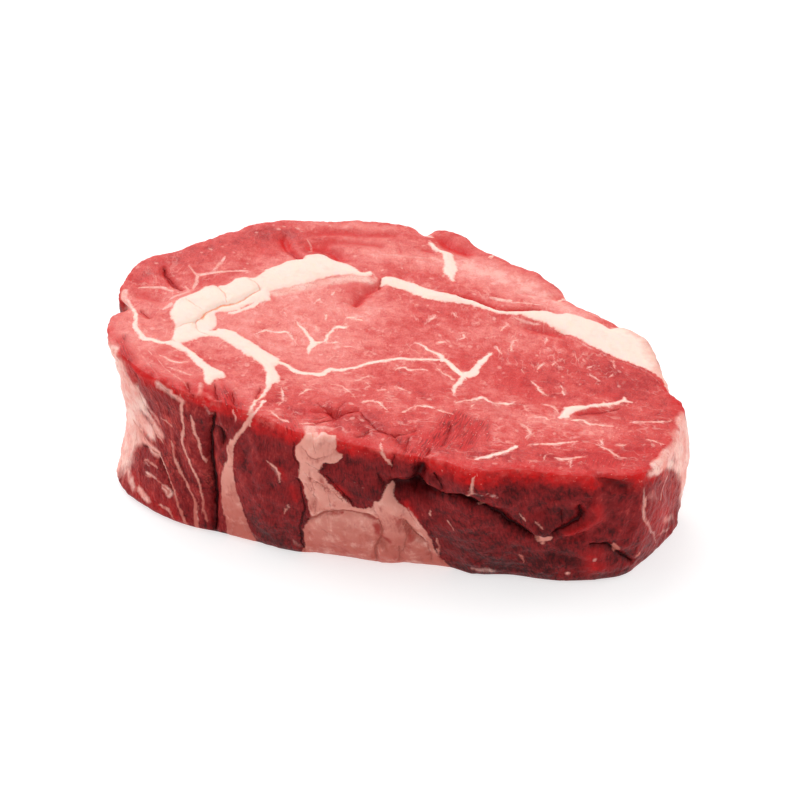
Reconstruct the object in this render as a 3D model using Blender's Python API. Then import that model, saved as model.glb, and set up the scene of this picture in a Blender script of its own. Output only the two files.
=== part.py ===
"""Raw ribeye steak: one thick boneless slice, resting on its flat lower cut face.

Metres, +Z up, +X along the longer side. The origin is under the middle of the
slice's box, on the surface it rests on. The slice is one piece of meat: muscles,
fat seams and marbling are one solid, and only their relief is modelled. Plan
points below are drawn about a rough middle, and the mesh is centred at the end.
"""
import math

import bmesh
import bpy
import numpy as np

MM = 0.001

# Driving sizes, in millimetres.
THICKNESS = 44.0          # height of the upper cut face over the middle of the slice
FALL_PER_MM = 0.085       # the upper face falls towards +X by this much per millimetre
RIM_ROUND = 4.0           # radius of the soft edge round the upper face
FOOT_ROUND = 2.5          # radius of the soft edge round the lower face
WALL_BULGE = 1.4          # how far the wall swells out at mid height
WAIST = (190, 25, 4.5)    # the left end is drawn in: direction, spread in degrees, depth
CENTRE = (2.0, -4.0)      # the point that the rings of both cut faces close on

# Mesh density.
SEGMENTS = 140            # steps round the slice
ROUND_STEPS = 3           # steps over each soft edge
WALL_STEPS = 11           # steps up the wall
TOP_RINGS = 15            # rings over the upper face
FOOT_RINGS = 3            # rings over the lower face
CURVE_STEPS = 24          # steps between two points of the outline

# Outer edge of the slice seen from above, anticlockwise from the left end: the front
# wall, the thin right end, the back wall and the thick left end.
OUTLINE = [
    (-84.2, -7), (-82, -16), (-76, -24), (-69, -31), (-60, -37), (-52, -40),
    (-44, -43.5), (-35, -48), (-27, -53), (-15, -56), (0, -59.5), (12, -61.5),
    (22, -65.5), (34, -63.5), (47, -64.5), (58, -63.5), (67, -62), (73.5, -56),
    (79, -45), (82.5, -35), (83.8, -26), (81.5, -20), (79, -10), (77.5, 0.5),
    (74, 9.5), (65.5, 17.5), (57, 24.5), (54, 31), (46.5, 40), (37, 47.5),
    (31, 52.5), (25.5, 57), (22, 62.5), (15, 65.5), (9.5, 63), (5.5, 65.5),
    (-4, 66.5), (-19, 65.5), (-32, 64.5), (-43, 61.5), (-52, 55.5), (-61, 47),
    (-69, 40), (-76, 36), (-80.5, 28), (-83, 18), (-83, 10), (-80.2, 5), (-83.8, 0),
]

# How far the lower edge is tucked in under the wall: direction in degrees from +X,
# then the distance.
TUCK = [
    (-10, 0.5), (45, 3.0), (90, 4.0), (150, 3.0), (182, 0.0), (195, -2.0), (212, 0.0),
    (235, 1.5), (246, 5.0), (255, 5.0), (270, 4.5), (280, 6.0), (292, 6.5), (302, 2.5),
    (312, 1.0), (323, 2.2), (335, -0.5),
]

# Relief of the upper face: a path, its half width, and its height (a groove is below 0).
TOP_RELIEF = [
    ([(-61, 6), (-50, 16), (-37, 27), (-25, 33), (-12, 29)], 8.0, 1.5),  # big fat kernel
    ([(-4, 29), (14, 22), (32, 16), (50, 13), (66, 3)], 5.0, 0.9),  # fat strip to the right
    ([(-52, -8), (-42, -16), (-37, -26), (-38, -38)], 4.0, 0.9),    # fat band to the front
    ([(-29, 40), (-35, 52)], 4.0, -3.2),                            # crevice beside the kernel
    ([(-26, 47), (-17, 45)], 4.0, -2.4),                            # hollow behind the kernel
    ([(-21, 58), (0, 57)], 3.5, -1.8),                              # folds of the cap muscle
    ([(-71, 27), (-64, 17)], 3.5, -2.6),                            # fold at the left end
    ([(-6, 25), (-12, 15)], 4.0, -2.0),                             # hollow under the kernel
    ([(12, 25), (26, 21), (34, 18), (44, 19)], 3.0, -1.6),          # seam under the cap
    ([(41, 10), (50, 6)], 3.5, -1.4),                               # hollow at the fat wedge
    ([(16, 56), (22, 52)], 5.0, -2.0),                              # dip at the back bump
    ([(-27, -44), (-17, -43), (-11, -41)], 3.0, -2.0),              # crack near the front edge
    ([(19, -43), (14, -56)], 5.0, -1.8),                            # pulled fibres at the edge
]

# Relief of the wall: a path in (distance along the outer edge from the left end, height),
# its half width, and how far it stands out.
WALL_RELIEF = [
    ([(48, 46), (48, 20), (49, 0)], 3.2, -3.0),                     # crease between muscles
    ([(60, 46), (55, 34), (52, 20), (53, 0)], 3.5, 1.2),            # fat seam down the wall
    ([(66, 38), (66, 12)], 7.0, 1.6),                               # round muscle
    ([(79, 43), (86, 41)], 5.0, 2.2),                               # loose flap of fat
    ([(84, 12), (96, 10), (108, 6)], 8.0, 1.6),                     # fat at the foot
    ([(110, 41), (108, 31)], 4.2, -5.0),                            # cavity
    ([(108, 31), (124, 32), (133, 27), (144, 19)], 3.5, -2.4),      # fold out of the cavity
    ([(122, 38), (150, 32)], 6.0, 1.5),                             # muscle over the fold
    ([(161, 27), (160, 22)], 4.5, 2.2),                             # bright flap of muscle
    ([(153, 27), (150, 19)], 3.5, -2.2),                            # gap beside the flap
    ([(163, 37), (170, 34)], 3.5, -1.6),                            # dent under the rim
    ([(165, 14), (172, 6)], 3.5, -1.8),                             # fold at the right foot
    ([(280, 40), (282, 20), (279, 0)], 4.0, -2.2),                  # seams down the back wall
    ([(340, 44), (343, 22), (341, 0)], 4.0, -2.4),
    ([(404, 48), (399, 24), (401, 0)], 4.5, -2.0),
    ([(468, 50), (470, 26), (466, 0)], 4.0, -2.6),                  # notch at the left end
    ([(311, 34), (312, 12)], 10.0, 1.6),                            # muscles between the seams
    ([(372, 36), (371, 14)], 12.0, 1.6),
    ([(435, 36), (434, 14)], 12.0, 1.6),
]

# Gentle waves that leave the whole wall uneven: waves per turn, phase, height.
WALL_WAVES = [(7, 0.4, 0.4), (13, 2.1, 0.3), (19, 4.0, 0.2)]


def closed_curve(points, steps):
    """Evenly spaced points on a smooth closed curve that starts at the first point."""
    knots = np.array(points, float)
    before, after, beyond = (np.roll(knots, k, axis=0)[:, None, :] for k in (1, -1, -2))
    here = knots[:, None, :]
    t = np.linspace(0.0, 1.0, CURVE_STEPS, endpoint=False)[None, :, None]
    dense = 0.5 * (2 * here + (after - before) * t
                   + (2 * before - 5 * here + 4 * after - beyond) * t**2
                   + (3 * here - before - 3 * after + beyond) * t**3).reshape(-1, 2)
    ends = np.vstack([dense, dense[:1]])
    length = np.concatenate([[0], np.cumsum(np.linalg.norm(np.diff(ends, axis=0), axis=1))])
    along = np.linspace(0.0, length[-1], steps, endpoint=False)
    edge = np.stack([np.interp(along, length, ends[:, axis]) for axis in (0, 1)], axis=1)
    return edge, along


def outward(outline):
    """Unit normals of an anticlockwise closed outline."""
    step = np.roll(outline, -1, axis=0) - np.roll(outline, 1, axis=0)
    normal = np.stack([step[:, 1], -step[:, 0]], axis=1)
    return normal / np.linalg.norm(normal, axis=1, keepdims=True)


def path_distance(u, v, path):
    """Distance from points (u, v) to a path of straight runs."""
    nearest = np.full(u.shape, np.inf)
    for (u0, v0), (u1, v1) in zip(path[:-1], path[1:]):
        du, dv = u1 - u0, v1 - v0
        part = np.clip(((u - u0) * du + (v - v0) * dv) / (du * du + dv * dv), 0.0, 1.0)
        nearest = np.minimum(nearest, np.hypot(u - u0 - part * du, v - v0 - part * dv))
    return nearest


def relief(u, v, features):
    """Sum of soft ridges and grooves at points (u, v)."""
    total = np.zeros(u.shape)
    for path, half_width, height in features:
        total += height * np.exp(-(path_distance(u, v, path) / half_width) ** 2)
    return total


def top_height(x, y):
    """Height of the upper cut face at plan points."""
    return THICKNESS - FALL_PER_MM * x + relief(x, y, TOP_RELIEF)


def direction_of(edge):
    """Directions of the edge's points, seen from the drawing's middle, in degrees."""
    return np.degrees(np.arctan2(edge[:, 1], edge[:, 0]))


def wall_offset(edge, along, height, share):
    """How far the wall stands out of the outer edge, at a share of its height."""
    tuck = np.interp(direction_of(edge), *zip(*TUCK), period=360.0)
    waist_direction, spread, depth = WAIST
    away = (direction_of(edge) - waist_direction + 180.0) % 360.0 - 180.0
    belly = WALL_BULGE - depth * np.exp(-(away / spread) ** 2)
    turn = along * 2.0 * math.pi / (along[-1] + along[1])
    for waves, phase, swing in WALL_WAVES:
        belly = belly + swing * np.sin(waves * turn + phase + 2.0 * share)
    level = math.sin(math.pi * share)
    return belly * level - tuck * (1.0 - share) ** 1.5 + (
        relief(along, height, WALL_RELIEF) * math.sqrt(level))


def rings_of_points():
    """All rings of the slice, from the middle of the foot up to the middle of the top."""
    edge, along = closed_curve(OUTLINE, SEGMENTS)
    normal = outward(edge)
    centre = np.array(CENTRE)
    foot_level = np.full(SEGMENTS, FOOT_ROUND)
    wall_top = top_height(edge[:, 0], edge[:, 1]) - RIM_ROUND

    foot = edge + normal * wall_offset(edge, along, foot_level, 0.0)[:, None]
    sole = foot - normal * FOOT_ROUND
    rings = []
    for k in range(1, FOOT_RINGS + 1):
        flat = centre + (sole - centre) * (k / FOOT_RINGS)
        rings.append(np.column_stack([flat, np.zeros(SEGMENTS)]))
    for k in range(1, ROUND_STEPS):
        turn = 0.5 * math.pi * k / ROUND_STEPS
        out = sole + normal * FOOT_ROUND * math.sin(turn)
        rings.append(np.column_stack([out, foot_level * (1.0 - math.cos(turn))]))
    for k in range(WALL_STEPS + 1):
        share = k / WALL_STEPS
        height = foot_level + (wall_top - foot_level) * share
        out = edge + normal * wall_offset(edge, along, height, share)[:, None]
        rings.append(np.column_stack([out, height]))
    shoulder = rings[-1][:, :2] - normal * RIM_ROUND
    shoulder_height = top_height(shoulder[:, 0], shoulder[:, 1])
    for k in range(1, ROUND_STEPS):
        turn = 0.5 * math.pi * k / ROUND_STEPS
        out = shoulder + normal * RIM_ROUND * math.cos(turn)
        height = wall_top + (shoulder_height - wall_top) * math.sin(turn)
        rings.append(np.column_stack([out, height]))
    for k in range(TOP_RINGS):
        inner = centre + (shoulder - centre) * (1.0 - k / TOP_RINGS)
        rings.append(np.column_stack([inner, top_height(inner[:, 0], inner[:, 1])]))
    return rings


def slice_mesh(name):
    """The closed loft through all rings, with a pole in the middle of each cut face."""
    bm = bmesh.new()
    rows = [[bm.verts.new(point * MM) for point in ring] for ring in rings_of_points()]
    x, y = CENTRE
    foot_pole = bm.verts.new((x * MM, y * MM, 0.0))
    top_pole = bm.verts.new((x * MM, y * MM, float(top_height(np.array(x), np.array(y))) * MM))
    for i in range(SEGMENTS):
        j = (i + 1) % SEGMENTS
        for lower, upper in zip(rows[:-1], rows[1:]):
            bm.faces.new((lower[i], lower[j], upper[j], upper[i]))
        bm.faces.new((foot_pole, rows[0][j], rows[0][i]))
        bm.faces.new((top_pole, rows[-1][i], rows[-1][j]))
    bmesh.ops.triangulate(bm, faces=bm.faces[:])
    bmesh.ops.recalc_face_normals(bm, faces=bm.faces[:])
    corners = [[pick(v.co[axis] for v in bm.verts) for pick in (min, max)] for axis in (0, 1)]
    to_middle = [-0.5 * (low + high) for low, high in corners]
    bmesh.ops.translate(bm, verts=bm.verts[:], vec=(*to_middle, 0.0))
    mesh = bpy.data.meshes.new(name)
    bm.to_mesh(mesh)
    bm.free()
    mesh.shade_smooth()
    return mesh


def raw_beef():
    """Plain red beef, slightly moist."""
    material = bpy.data.materials.new("raw_beef")
    material.use_nodes = True
    shader = material.node_tree.nodes["Principled BSDF"]
    shader.inputs["Base Color"].default_value = (0.52, 0.075, 0.07, 1.0)
    shader.inputs["Roughness"].default_value = 0.42
    shader.inputs["Metallic"].default_value = 0.0
    return material


for old in list(bpy.context.scene.objects):
    bpy.data.objects.remove(old, do_unlink=True)

meat = bpy.data.collections.new("ribeye_steak")
bpy.context.scene.collection.children.link(meat)
steak = bpy.data.objects.new("steak", slice_mesh("steak"))
steak.data.materials.append(raw_beef())
meat.objects.link(steak)
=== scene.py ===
"""Raw ribeye steak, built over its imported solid: metres, +Z up, +X along the longer side.

Sizes below are in millimetres. Plan points are (x, y) about the slice's rough middle;
wall points are (distance along the outer edge from the left end, height).
"""
import math

import bpy
import numpy as np
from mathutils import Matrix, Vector, geometry, kdtree, noise


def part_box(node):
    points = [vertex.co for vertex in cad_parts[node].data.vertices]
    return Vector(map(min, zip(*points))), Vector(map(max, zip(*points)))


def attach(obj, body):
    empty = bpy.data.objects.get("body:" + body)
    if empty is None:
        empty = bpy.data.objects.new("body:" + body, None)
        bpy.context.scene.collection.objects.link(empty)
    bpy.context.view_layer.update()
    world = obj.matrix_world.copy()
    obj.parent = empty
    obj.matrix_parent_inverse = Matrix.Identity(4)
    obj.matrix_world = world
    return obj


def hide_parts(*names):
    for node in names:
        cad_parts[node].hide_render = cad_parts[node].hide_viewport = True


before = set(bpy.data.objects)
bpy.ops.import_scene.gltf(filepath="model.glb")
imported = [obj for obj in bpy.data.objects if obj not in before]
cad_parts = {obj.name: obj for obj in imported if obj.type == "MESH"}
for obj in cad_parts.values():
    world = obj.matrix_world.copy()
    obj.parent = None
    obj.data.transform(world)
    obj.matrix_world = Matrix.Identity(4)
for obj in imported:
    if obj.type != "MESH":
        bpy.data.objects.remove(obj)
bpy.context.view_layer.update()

# ---------------------------------------------------------------------------
# The slice. One thick piece cut straight across the rib muscles, so both cut faces are
# nearly flat and the wall between them is the outside of the muscles, soft and uneven.
# It lies on its lower cut face; the upper one falls towards the thin right end.
# ---------------------------------------------------------------------------
MM = 0.001
THICKNESS = 44.0          # height of the upper cut face over the middle
FALL_PER_MM = 0.085       # the upper cut face falls towards +X
RIM_ROUND = 1.7           # knife-cut edge round the upper face
FOOT_ROUND = 2.5          # edge that the slice's weight rounds at the table
WALL_BULGE = 1.4          # swell of the wall at mid height
WAIST = (188, 24, 5.8)    # the left end is drawn in: direction, spread in degrees, depth
SEGMENTS = 704            # steps round the slice
RIM_STEPS = 5
WALL_STEPS = 52
FOOT_STEPS = 3
LEAN_SPACING = 0.64       # mesh spacing over the upper cut face
SOLE_SPACING = 3.0        # mesh spacing over the hidden lower face
CURVE_STEPS = 24

# Outer edge from above, anticlockwise from the left end.
OUTLINE = [
    (-84.2, -7), (-82, -16), (-76, -24), (-69, -31), (-60, -37), (-52, -40),
    (-44, -43.5), (-35, -48), (-27, -53), (-15, -56), (0, -59.5), (12, -61.5),
    (22, -65.5), (34, -63.5), (47, -64.5), (58, -63.5), (67, -62), (73.5, -56),
    (79, -45), (82.5, -35), (83.8, -26), (81.5, -20), (79, -10), (77.5, 0.5),
    (74, 9.5), (65.5, 17.5), (57, 24.5), (54, 31), (46.5, 40), (37, 47.5),
    (31, 52.5), (25.5, 57), (22, 62.5), (15, 65.5), (9.5, 63), (5.5, 65.5),
    (-4, 66.5), (-19, 65.5), (-32, 64.5), (-43, 61.5), (-52, 55.5), (-61, 47),
    (-69, 40), (-76, 36), (-80.5, 28), (-83, 18), (-83, 10), (-80.2, 5), (-83.8, 0),
]

# How far the lower edge is tucked in under the wall: direction in degrees, distance.
TUCK = [
    (-10, 0.5), (45, 3.0), (90, 4.0), (150, 3.0), (182, 0.5), (195, -2.2), (212, -0.8),
    (235, 0.6), (246, 4.4), (255, 4.6), (266, 4.6), (272, 6.0), (280, 5.8), (290, 5.8),
    (302, 2.2), (312, 1.2), (321, 3.0), (335, -1.4),
]
WALL_WAVES = [(7, 0.4, 0.4), (13, 2.1, 0.3), (19, 4.0, 0.2)]  # per turn, phase, height


def smooth_path(points, closed=False, steps=8):
    """A dense smooth curve through the points; columns after the first two ride along."""
    knots = np.array(points, float)
    if closed:
        before, after, beyond = (np.roll(knots, k, axis=0) for k in (1, -1, -2))
    else:
        ends = np.vstack([knots[:1], knots, knots[-1:], knots[-1:]])
        before, after, beyond = ends[:-3], ends[2:-1], ends[3:]
    before, here, after, beyond = (a[:, None, :] for a in (before, knots, after, beyond))
    t = np.linspace(0.0, 1.0, steps, endpoint=False)[None, :, None]
    dense = 0.5 * (2 * here + (after - before) * t
                   + (2 * before - 5 * here + 4 * after - beyond) * t**2
                   + (3 * here - before - 3 * after + beyond) * t**3)
    dense = dense.reshape(-1, knots.shape[1])
    return dense if closed else np.vstack([dense[:1 - steps], knots[-1:]])


def even_steps(curve, count):
    """That many evenly spaced points on a closed curve, and how far along each one is."""
    ends = np.vstack([curve, curve[:1]])
    length = np.concatenate([[0], np.cumsum(np.linalg.norm(np.diff(ends, axis=0), axis=1))])
    along = np.linspace(0.0, length[-1], count, endpoint=False)
    places = [np.interp(along, length, ends[:, axis]) for axis in (0, 1)]
    return np.stack(places, axis=1), along, length[-1]


def outward(edge, ease=0):
    """Unit normals of an anticlockwise closed edge, evened out over that many neighbours."""
    step = np.roll(edge, -1, axis=0) - np.roll(edge, 1, axis=0)
    normal = np.stack([step[:, 1], -step[:, 0]], axis=1)
    normal = sum(np.roll(normal, k, axis=0) for k in range(-ease, ease + 1))
    return normal / np.linalg.norm(normal, axis=1, keepdims=True)


def cut_level(x):
    """Height of the upper cut face before its relief."""
    return THICKNESS - FALL_PER_MM * x


def wall_lean(edge, along, share):
    """How far the wall leans out of the outer edge at a share of its height."""
    direction = np.degrees(np.arctan2(edge[:, 1], edge[:, 0]))
    tuck = np.interp(direction, *zip(*TUCK), period=360.0)
    away = (direction - WAIST[0] + 180.0) % 360.0 - 180.0
    belly = WALL_BULGE - WAIST[2] * np.exp(-(away / WAIST[1]) ** 2)
    for waves, phase, swing in WALL_WAVES:
        belly = belly + swing * np.sin(waves * along * 2 * math.pi / girth + phase + 2 * share)
    return belly * math.sin(math.pi * share) - tuck * (1.0 - share) ** 1.5


edge, along, girth = even_steps(smooth_path(OUTLINE, closed=True, steps=CURVE_STEPS), SEGMENTS)
normal = outward(edge, ease=7)
rim_level = cut_level(edge[:, 0]) - RIM_ROUND

# Rows from the sole up to the shoulder: plan place, height, and the way out of the flesh.
foot = edge + normal * wall_lean(edge, along, 0.0)[:, None]
sole = foot - normal * FOOT_ROUND
shoulder = edge - normal * RIM_ROUND
rows = []
for k in range(FOOT_STEPS):
    turn = 0.5 * math.pi * k / FOOT_STEPS
    rows.append((sole + normal * FOOT_ROUND * math.sin(turn),
                 np.full(SEGMENTS, FOOT_ROUND * (1.0 - math.cos(turn))), turn))
for k in range(WALL_STEPS):
    share = k / WALL_STEPS
    level = FOOT_ROUND + (rim_level - FOOT_ROUND) * share
    rows.append((edge + normal * wall_lean(edge, along, share)[:, None], level, 0.5 * math.pi))
for k in range(RIM_STEPS + 1):
    turn = 0.5 * math.pi * k / RIM_STEPS
    rows.append((shoulder + normal * RIM_ROUND * math.cos(turn),
                 rim_level + (cut_level(shoulder[:, 0]) - rim_level) * math.sin(turn),
                 0.5 * math.pi + turn))
row_count = len(rows)


def grid_inside(ring, spacing):
    """Evenly staggered points inside a closed ring, half a step clear of it."""
    low, high = ring.min(axis=0), ring.max(axis=0)
    tree = kdtree.KDTree(len(ring))
    for i, (x, y) in enumerate(ring):
        tree.insert((x, y, 0.0), i)
    tree.balance()
    ways, found = outward(ring), []
    for j, y in enumerate(np.arange(low[1], high[1], spacing * 0.866)):
        for x in np.arange(low[0] + (j % 2) * spacing / 2, high[0], spacing):
            near, i, gap = tree.find((x, y, 0.0))
            inward = (ring[i, 0] - x) * ways[i, 0] + (ring[i, 1] - y) * ways[i, 1]
            if inward > 0.45 * min(spacing, 1.0):
                found.append((x, y, along[i], gap))
    return np.array(found)


def skin(ring, inner):
    """Triangles that fill a ring: the ring's points come first, then the inner ones."""
    places = [Vector(p) for p in ring] + [Vector(p[:2]) for p in inner]
    loop = [(i, (i + 1) % len(ring)) for i in range(len(ring))]
    verts, _, faces, origin, _, _ = geometry.delaunay_2d_cdt(places, loop, [], 1, 1e-7)
    number = [names[0] for names in origin]
    return np.array([[number[i] for i in face] for face in faces])


cut_inner = grid_inside(shoulder, LEAN_SPACING)
cut_faces = skin(shoulder, cut_inner)
sole_inner = grid_inside(sole, SOLE_SPACING)
sole_faces = skin(sole, sole_inner)

# One table of all points: plan place, height, the way out, and two unfolded positions, so
# that a seam drawn on the cut face runs on over the rim and one on the wall runs up to it.
arc = 0.5 * math.pi * RIM_ROUND
plan, level, way, run_s, run_h, over = [], [], [], [], [], []
for place, height, turn in rows:
    tilt = min(turn, math.pi) - 0.5 * math.pi
    plan.append(place)
    level.append(height)
    way.append(np.column_stack([normal * math.cos(tilt), np.full(SEGMENTS, math.sin(tilt))]))
    run_s.append(along)
    run_h.append(np.where(tilt > 0, rim_level + tilt * RIM_ROUND, height))
    over.append(np.where(tilt > 0, arc - tilt * RIM_ROUND, arc + rim_level - height))
unfolded = [shoulder + normal * o[:, None] for o in over]
plan.append(cut_inner[:, :2])
level.append(cut_level(cut_inner[:, 0]))
way.append(np.tile((0.0, 0.0, 1.0), (len(cut_inner), 1)))
run_s.append(cut_inner[:, 2])
run_h.append(cut_level(cut_inner[:, 0]) - RIM_ROUND + arc + cut_inner[:, 3])
over.append(-cut_inner[:, 3])
unfolded.append(cut_inner[:, :2])
plan.append(sole_inner[:, :2])
level.append(np.zeros(len(sole_inner)))
way.append(np.tile((0.0, 0.0, -1.0), (len(sole_inner), 1)))
run_s.append(sole_inner[:, 2])
run_h.append(np.full(len(sole_inner), -20.0))
over.append(np.full(len(sole_inner), 200.0))
unfolded.append(sole_inner[:, :2])
plan, level, way = np.vstack(plan), np.concatenate(level), np.vstack(way)
run_s, run_h, over = (np.concatenate(a) for a in (run_s, run_h, over))
unfolded = np.vstack(unfolded)
SEAM_AT = 383.0           # the unfolded wall is joined here, on the plain back
run_s = np.where(run_s > SEAM_AT, run_s - girth, run_s)
base = np.column_stack([plan, level])
cut_share = np.clip(1.0 - (over + 0.6) / (arc + 1.2), 0.0, 1.0)   # 1 on the cut face, 0 on the wall
is_sole = over > 150.0
cut_share[is_sole] = 1.0

# ---------------------------------------------------------------------------
# The fat. Cream kernels and seams part the muscles; thin veins of it marble the lean.
# It is softer than the lean, so it stands a little proud where the knife has passed.
# Areas are closed outlines; veins are (x, y, half width) along their middle.
# ---------------------------------------------------------------------------
CUT_FAT = [
    # The kernel between the eye and the cap, with the knot at its left end.
    [(-66.5, 1), (-66.3, 4), (-65.6, 7.5), (-64.2, 9.5), (-62.3, 12), (-60.3, 13.8), (-59, 15),
     (-58, 17), (-56, 18.4), (-53.8, 18.8), (-51.6, 19.3), (-50, 21), (-48.2, 23.3),
     (-45.6, 24.5), (-43, 24.2), (-41.5, 25.6), (-40.3, 28), (-39, 30.4), (-36, 33.6),
     (-33, 36), (-30.4, 38.6), (-28.6, 40.7), (-25.5, 42), (-22.6, 42.4), (-20.8, 41.4),
     (-19, 39.6), (-16.5, 37.8), (-14, 36.3), (-12.4, 34.6), (-11, 33), (-9.6, 32.3),
     (-7.4, 34.3), (-7, 31.6), (-9, 30), (-12, 29.8), (-16, 29.6), (-20, 28.6), (-23, 26.8),
     (-26, 24.6), (-29, 22.8), (-32, 20.8), (-35, 19.4), (-37, 18.3), (-37.2, 15.4),
     (-37.4, 13.2), (-40, 12.2), (-43, 10.2), (-45, 8), (-46.3, 6.2), (-50, 4.7), (-53, 3.6),
     (-52.3, 0.5), (-52.2, -2.8), (-53.2, -5), (-53.4, -6.2), (-51.8, -8.8), (-55, -9.2),
     (-58, -10.3), (-61, -12.1), (-64, -12.8), (-64.9, -10), (-64.2, -7), (-64.4, -4),
     (-65.4, -1.5)],
    # The band from the knot down to the front edge.
    [(-51.6, -4.1), (-47.5, -5), (-44.5, -7.4), (-41, -10.8), (-37.5, -13.8), (-34.4, -16.3),
     (-33, -18), (-33, -20), (-34, -22), (-33.7, -24), (-32.8, -27), (-33, -29.8),
     (-34.3, -31.6), (-35.2, -34.5), (-36.2, -37.5), (-37.8, -39.3), (-39.6, -39.8),
     (-38.2, -38.4), (-37, -36.5), (-36.4, -33), (-36.6, -29), (-36.8, -26), (-37.6, -23.4),
     (-39.4, -20.6), (-42, -18), (-45.4, -15), (-48.6, -12), (-51.6, -9.6), (-54.6, -8.6),
     (-54.2, -6.4), (-52.4, -5.6)],
    # The fan that widens towards the front left.
    [(-66, -12.4), (-62, -12.3), (-60.2, -14.6), (-57, -18.2), (-54.2, -21.8), (-52, -24),
     (-49.6, -25.5), (-48, -27), (-48.4, -29), (-50.4, -30.4), (-52, -33.2), (-53.4, -32),
     (-54, -28.5), (-55.2, -25), (-57.4, -21.8), (-60.4, -18), (-63, -15.6), (-66, -14.4)],
    # The strip under the cap, and the wedge that it ends in at the back right.
    [(-4.2, 30), (-3.2, 31.4), (-1.5, 31.8), (1, 31.5), (5, 29.6), (9, 27.2), (13, 25),
     (17, 24), (20, 23.3), (24, 22.2), (28, 20.2), (31, 18.3), (33, 17.3), (37, 17), (42, 18),
     (46, 18.5), (49, 17.2), (51, 17.2), (53, 18.2), (56, 17.6), (59, 16), (62, 14.6),
     (66, 11.2), (70, 14), (77, 13), (84, 4), (87, -8), (85, -17), (80.5, -19.5), (78.8, -15),
     (76.6, -11.5), (73.5, -9.2), (69.5, -6.4), (65, -3.6), (61, -0.8), (58, 1.4), (55, 4.2),
     (51, 7), (48, 9.6), (45, 12), (42, 13), (38, 14.4), (33, 14.4), (30, 15.2), (25, 17.4),
     (20, 18.8), (15, 19.2), (10.5, 20.2), (8, 21.6), (4, 24.4), (0, 26), (-4, 26.8),
     (-4.4, 28.4)],
    # The short bar across the cap.
    [(10.6, 55.5), (12.2, 55), (13.4, 52.6), (15, 51), (17.2, 50.2), (18.6, 48.5), (19, 45),
     (19.4, 42), (19.8, 39), (19, 36.4), (18.6, 34.5), (19.2, 32.6), (18, 32), (17, 34),
     (15.6, 36), (15, 38.5), (15.4, 42), (15.2, 46), (14.6, 49), (12.6, 50.6), (11.2, 53)],
    # The branch at the lower right of the eye.
    [(46.4, -37.4), (47.4, -35.4), (48, -33.2), (49, -31.6), (51, -30.8), (54, -30.4),
     (57, -29.4), (59.6, -28.2), (60, -27.2), (60.8, -28.2), (63.6, -27.6), (65.6, -26),
     (66.2, -24.4), (67, -24.6), (67, -26), (68.6, -27.2), (66, -27.4), (64.4, -28.8),
     (62.6, -29.6), (62.8, -30.6), (61, -29.8), (58, -30.6), (55.5, -32), (53, -33),
     (51.2, -34), (50, -35.6), (49.6, -37.2), (48, -37.6)],
]
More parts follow.
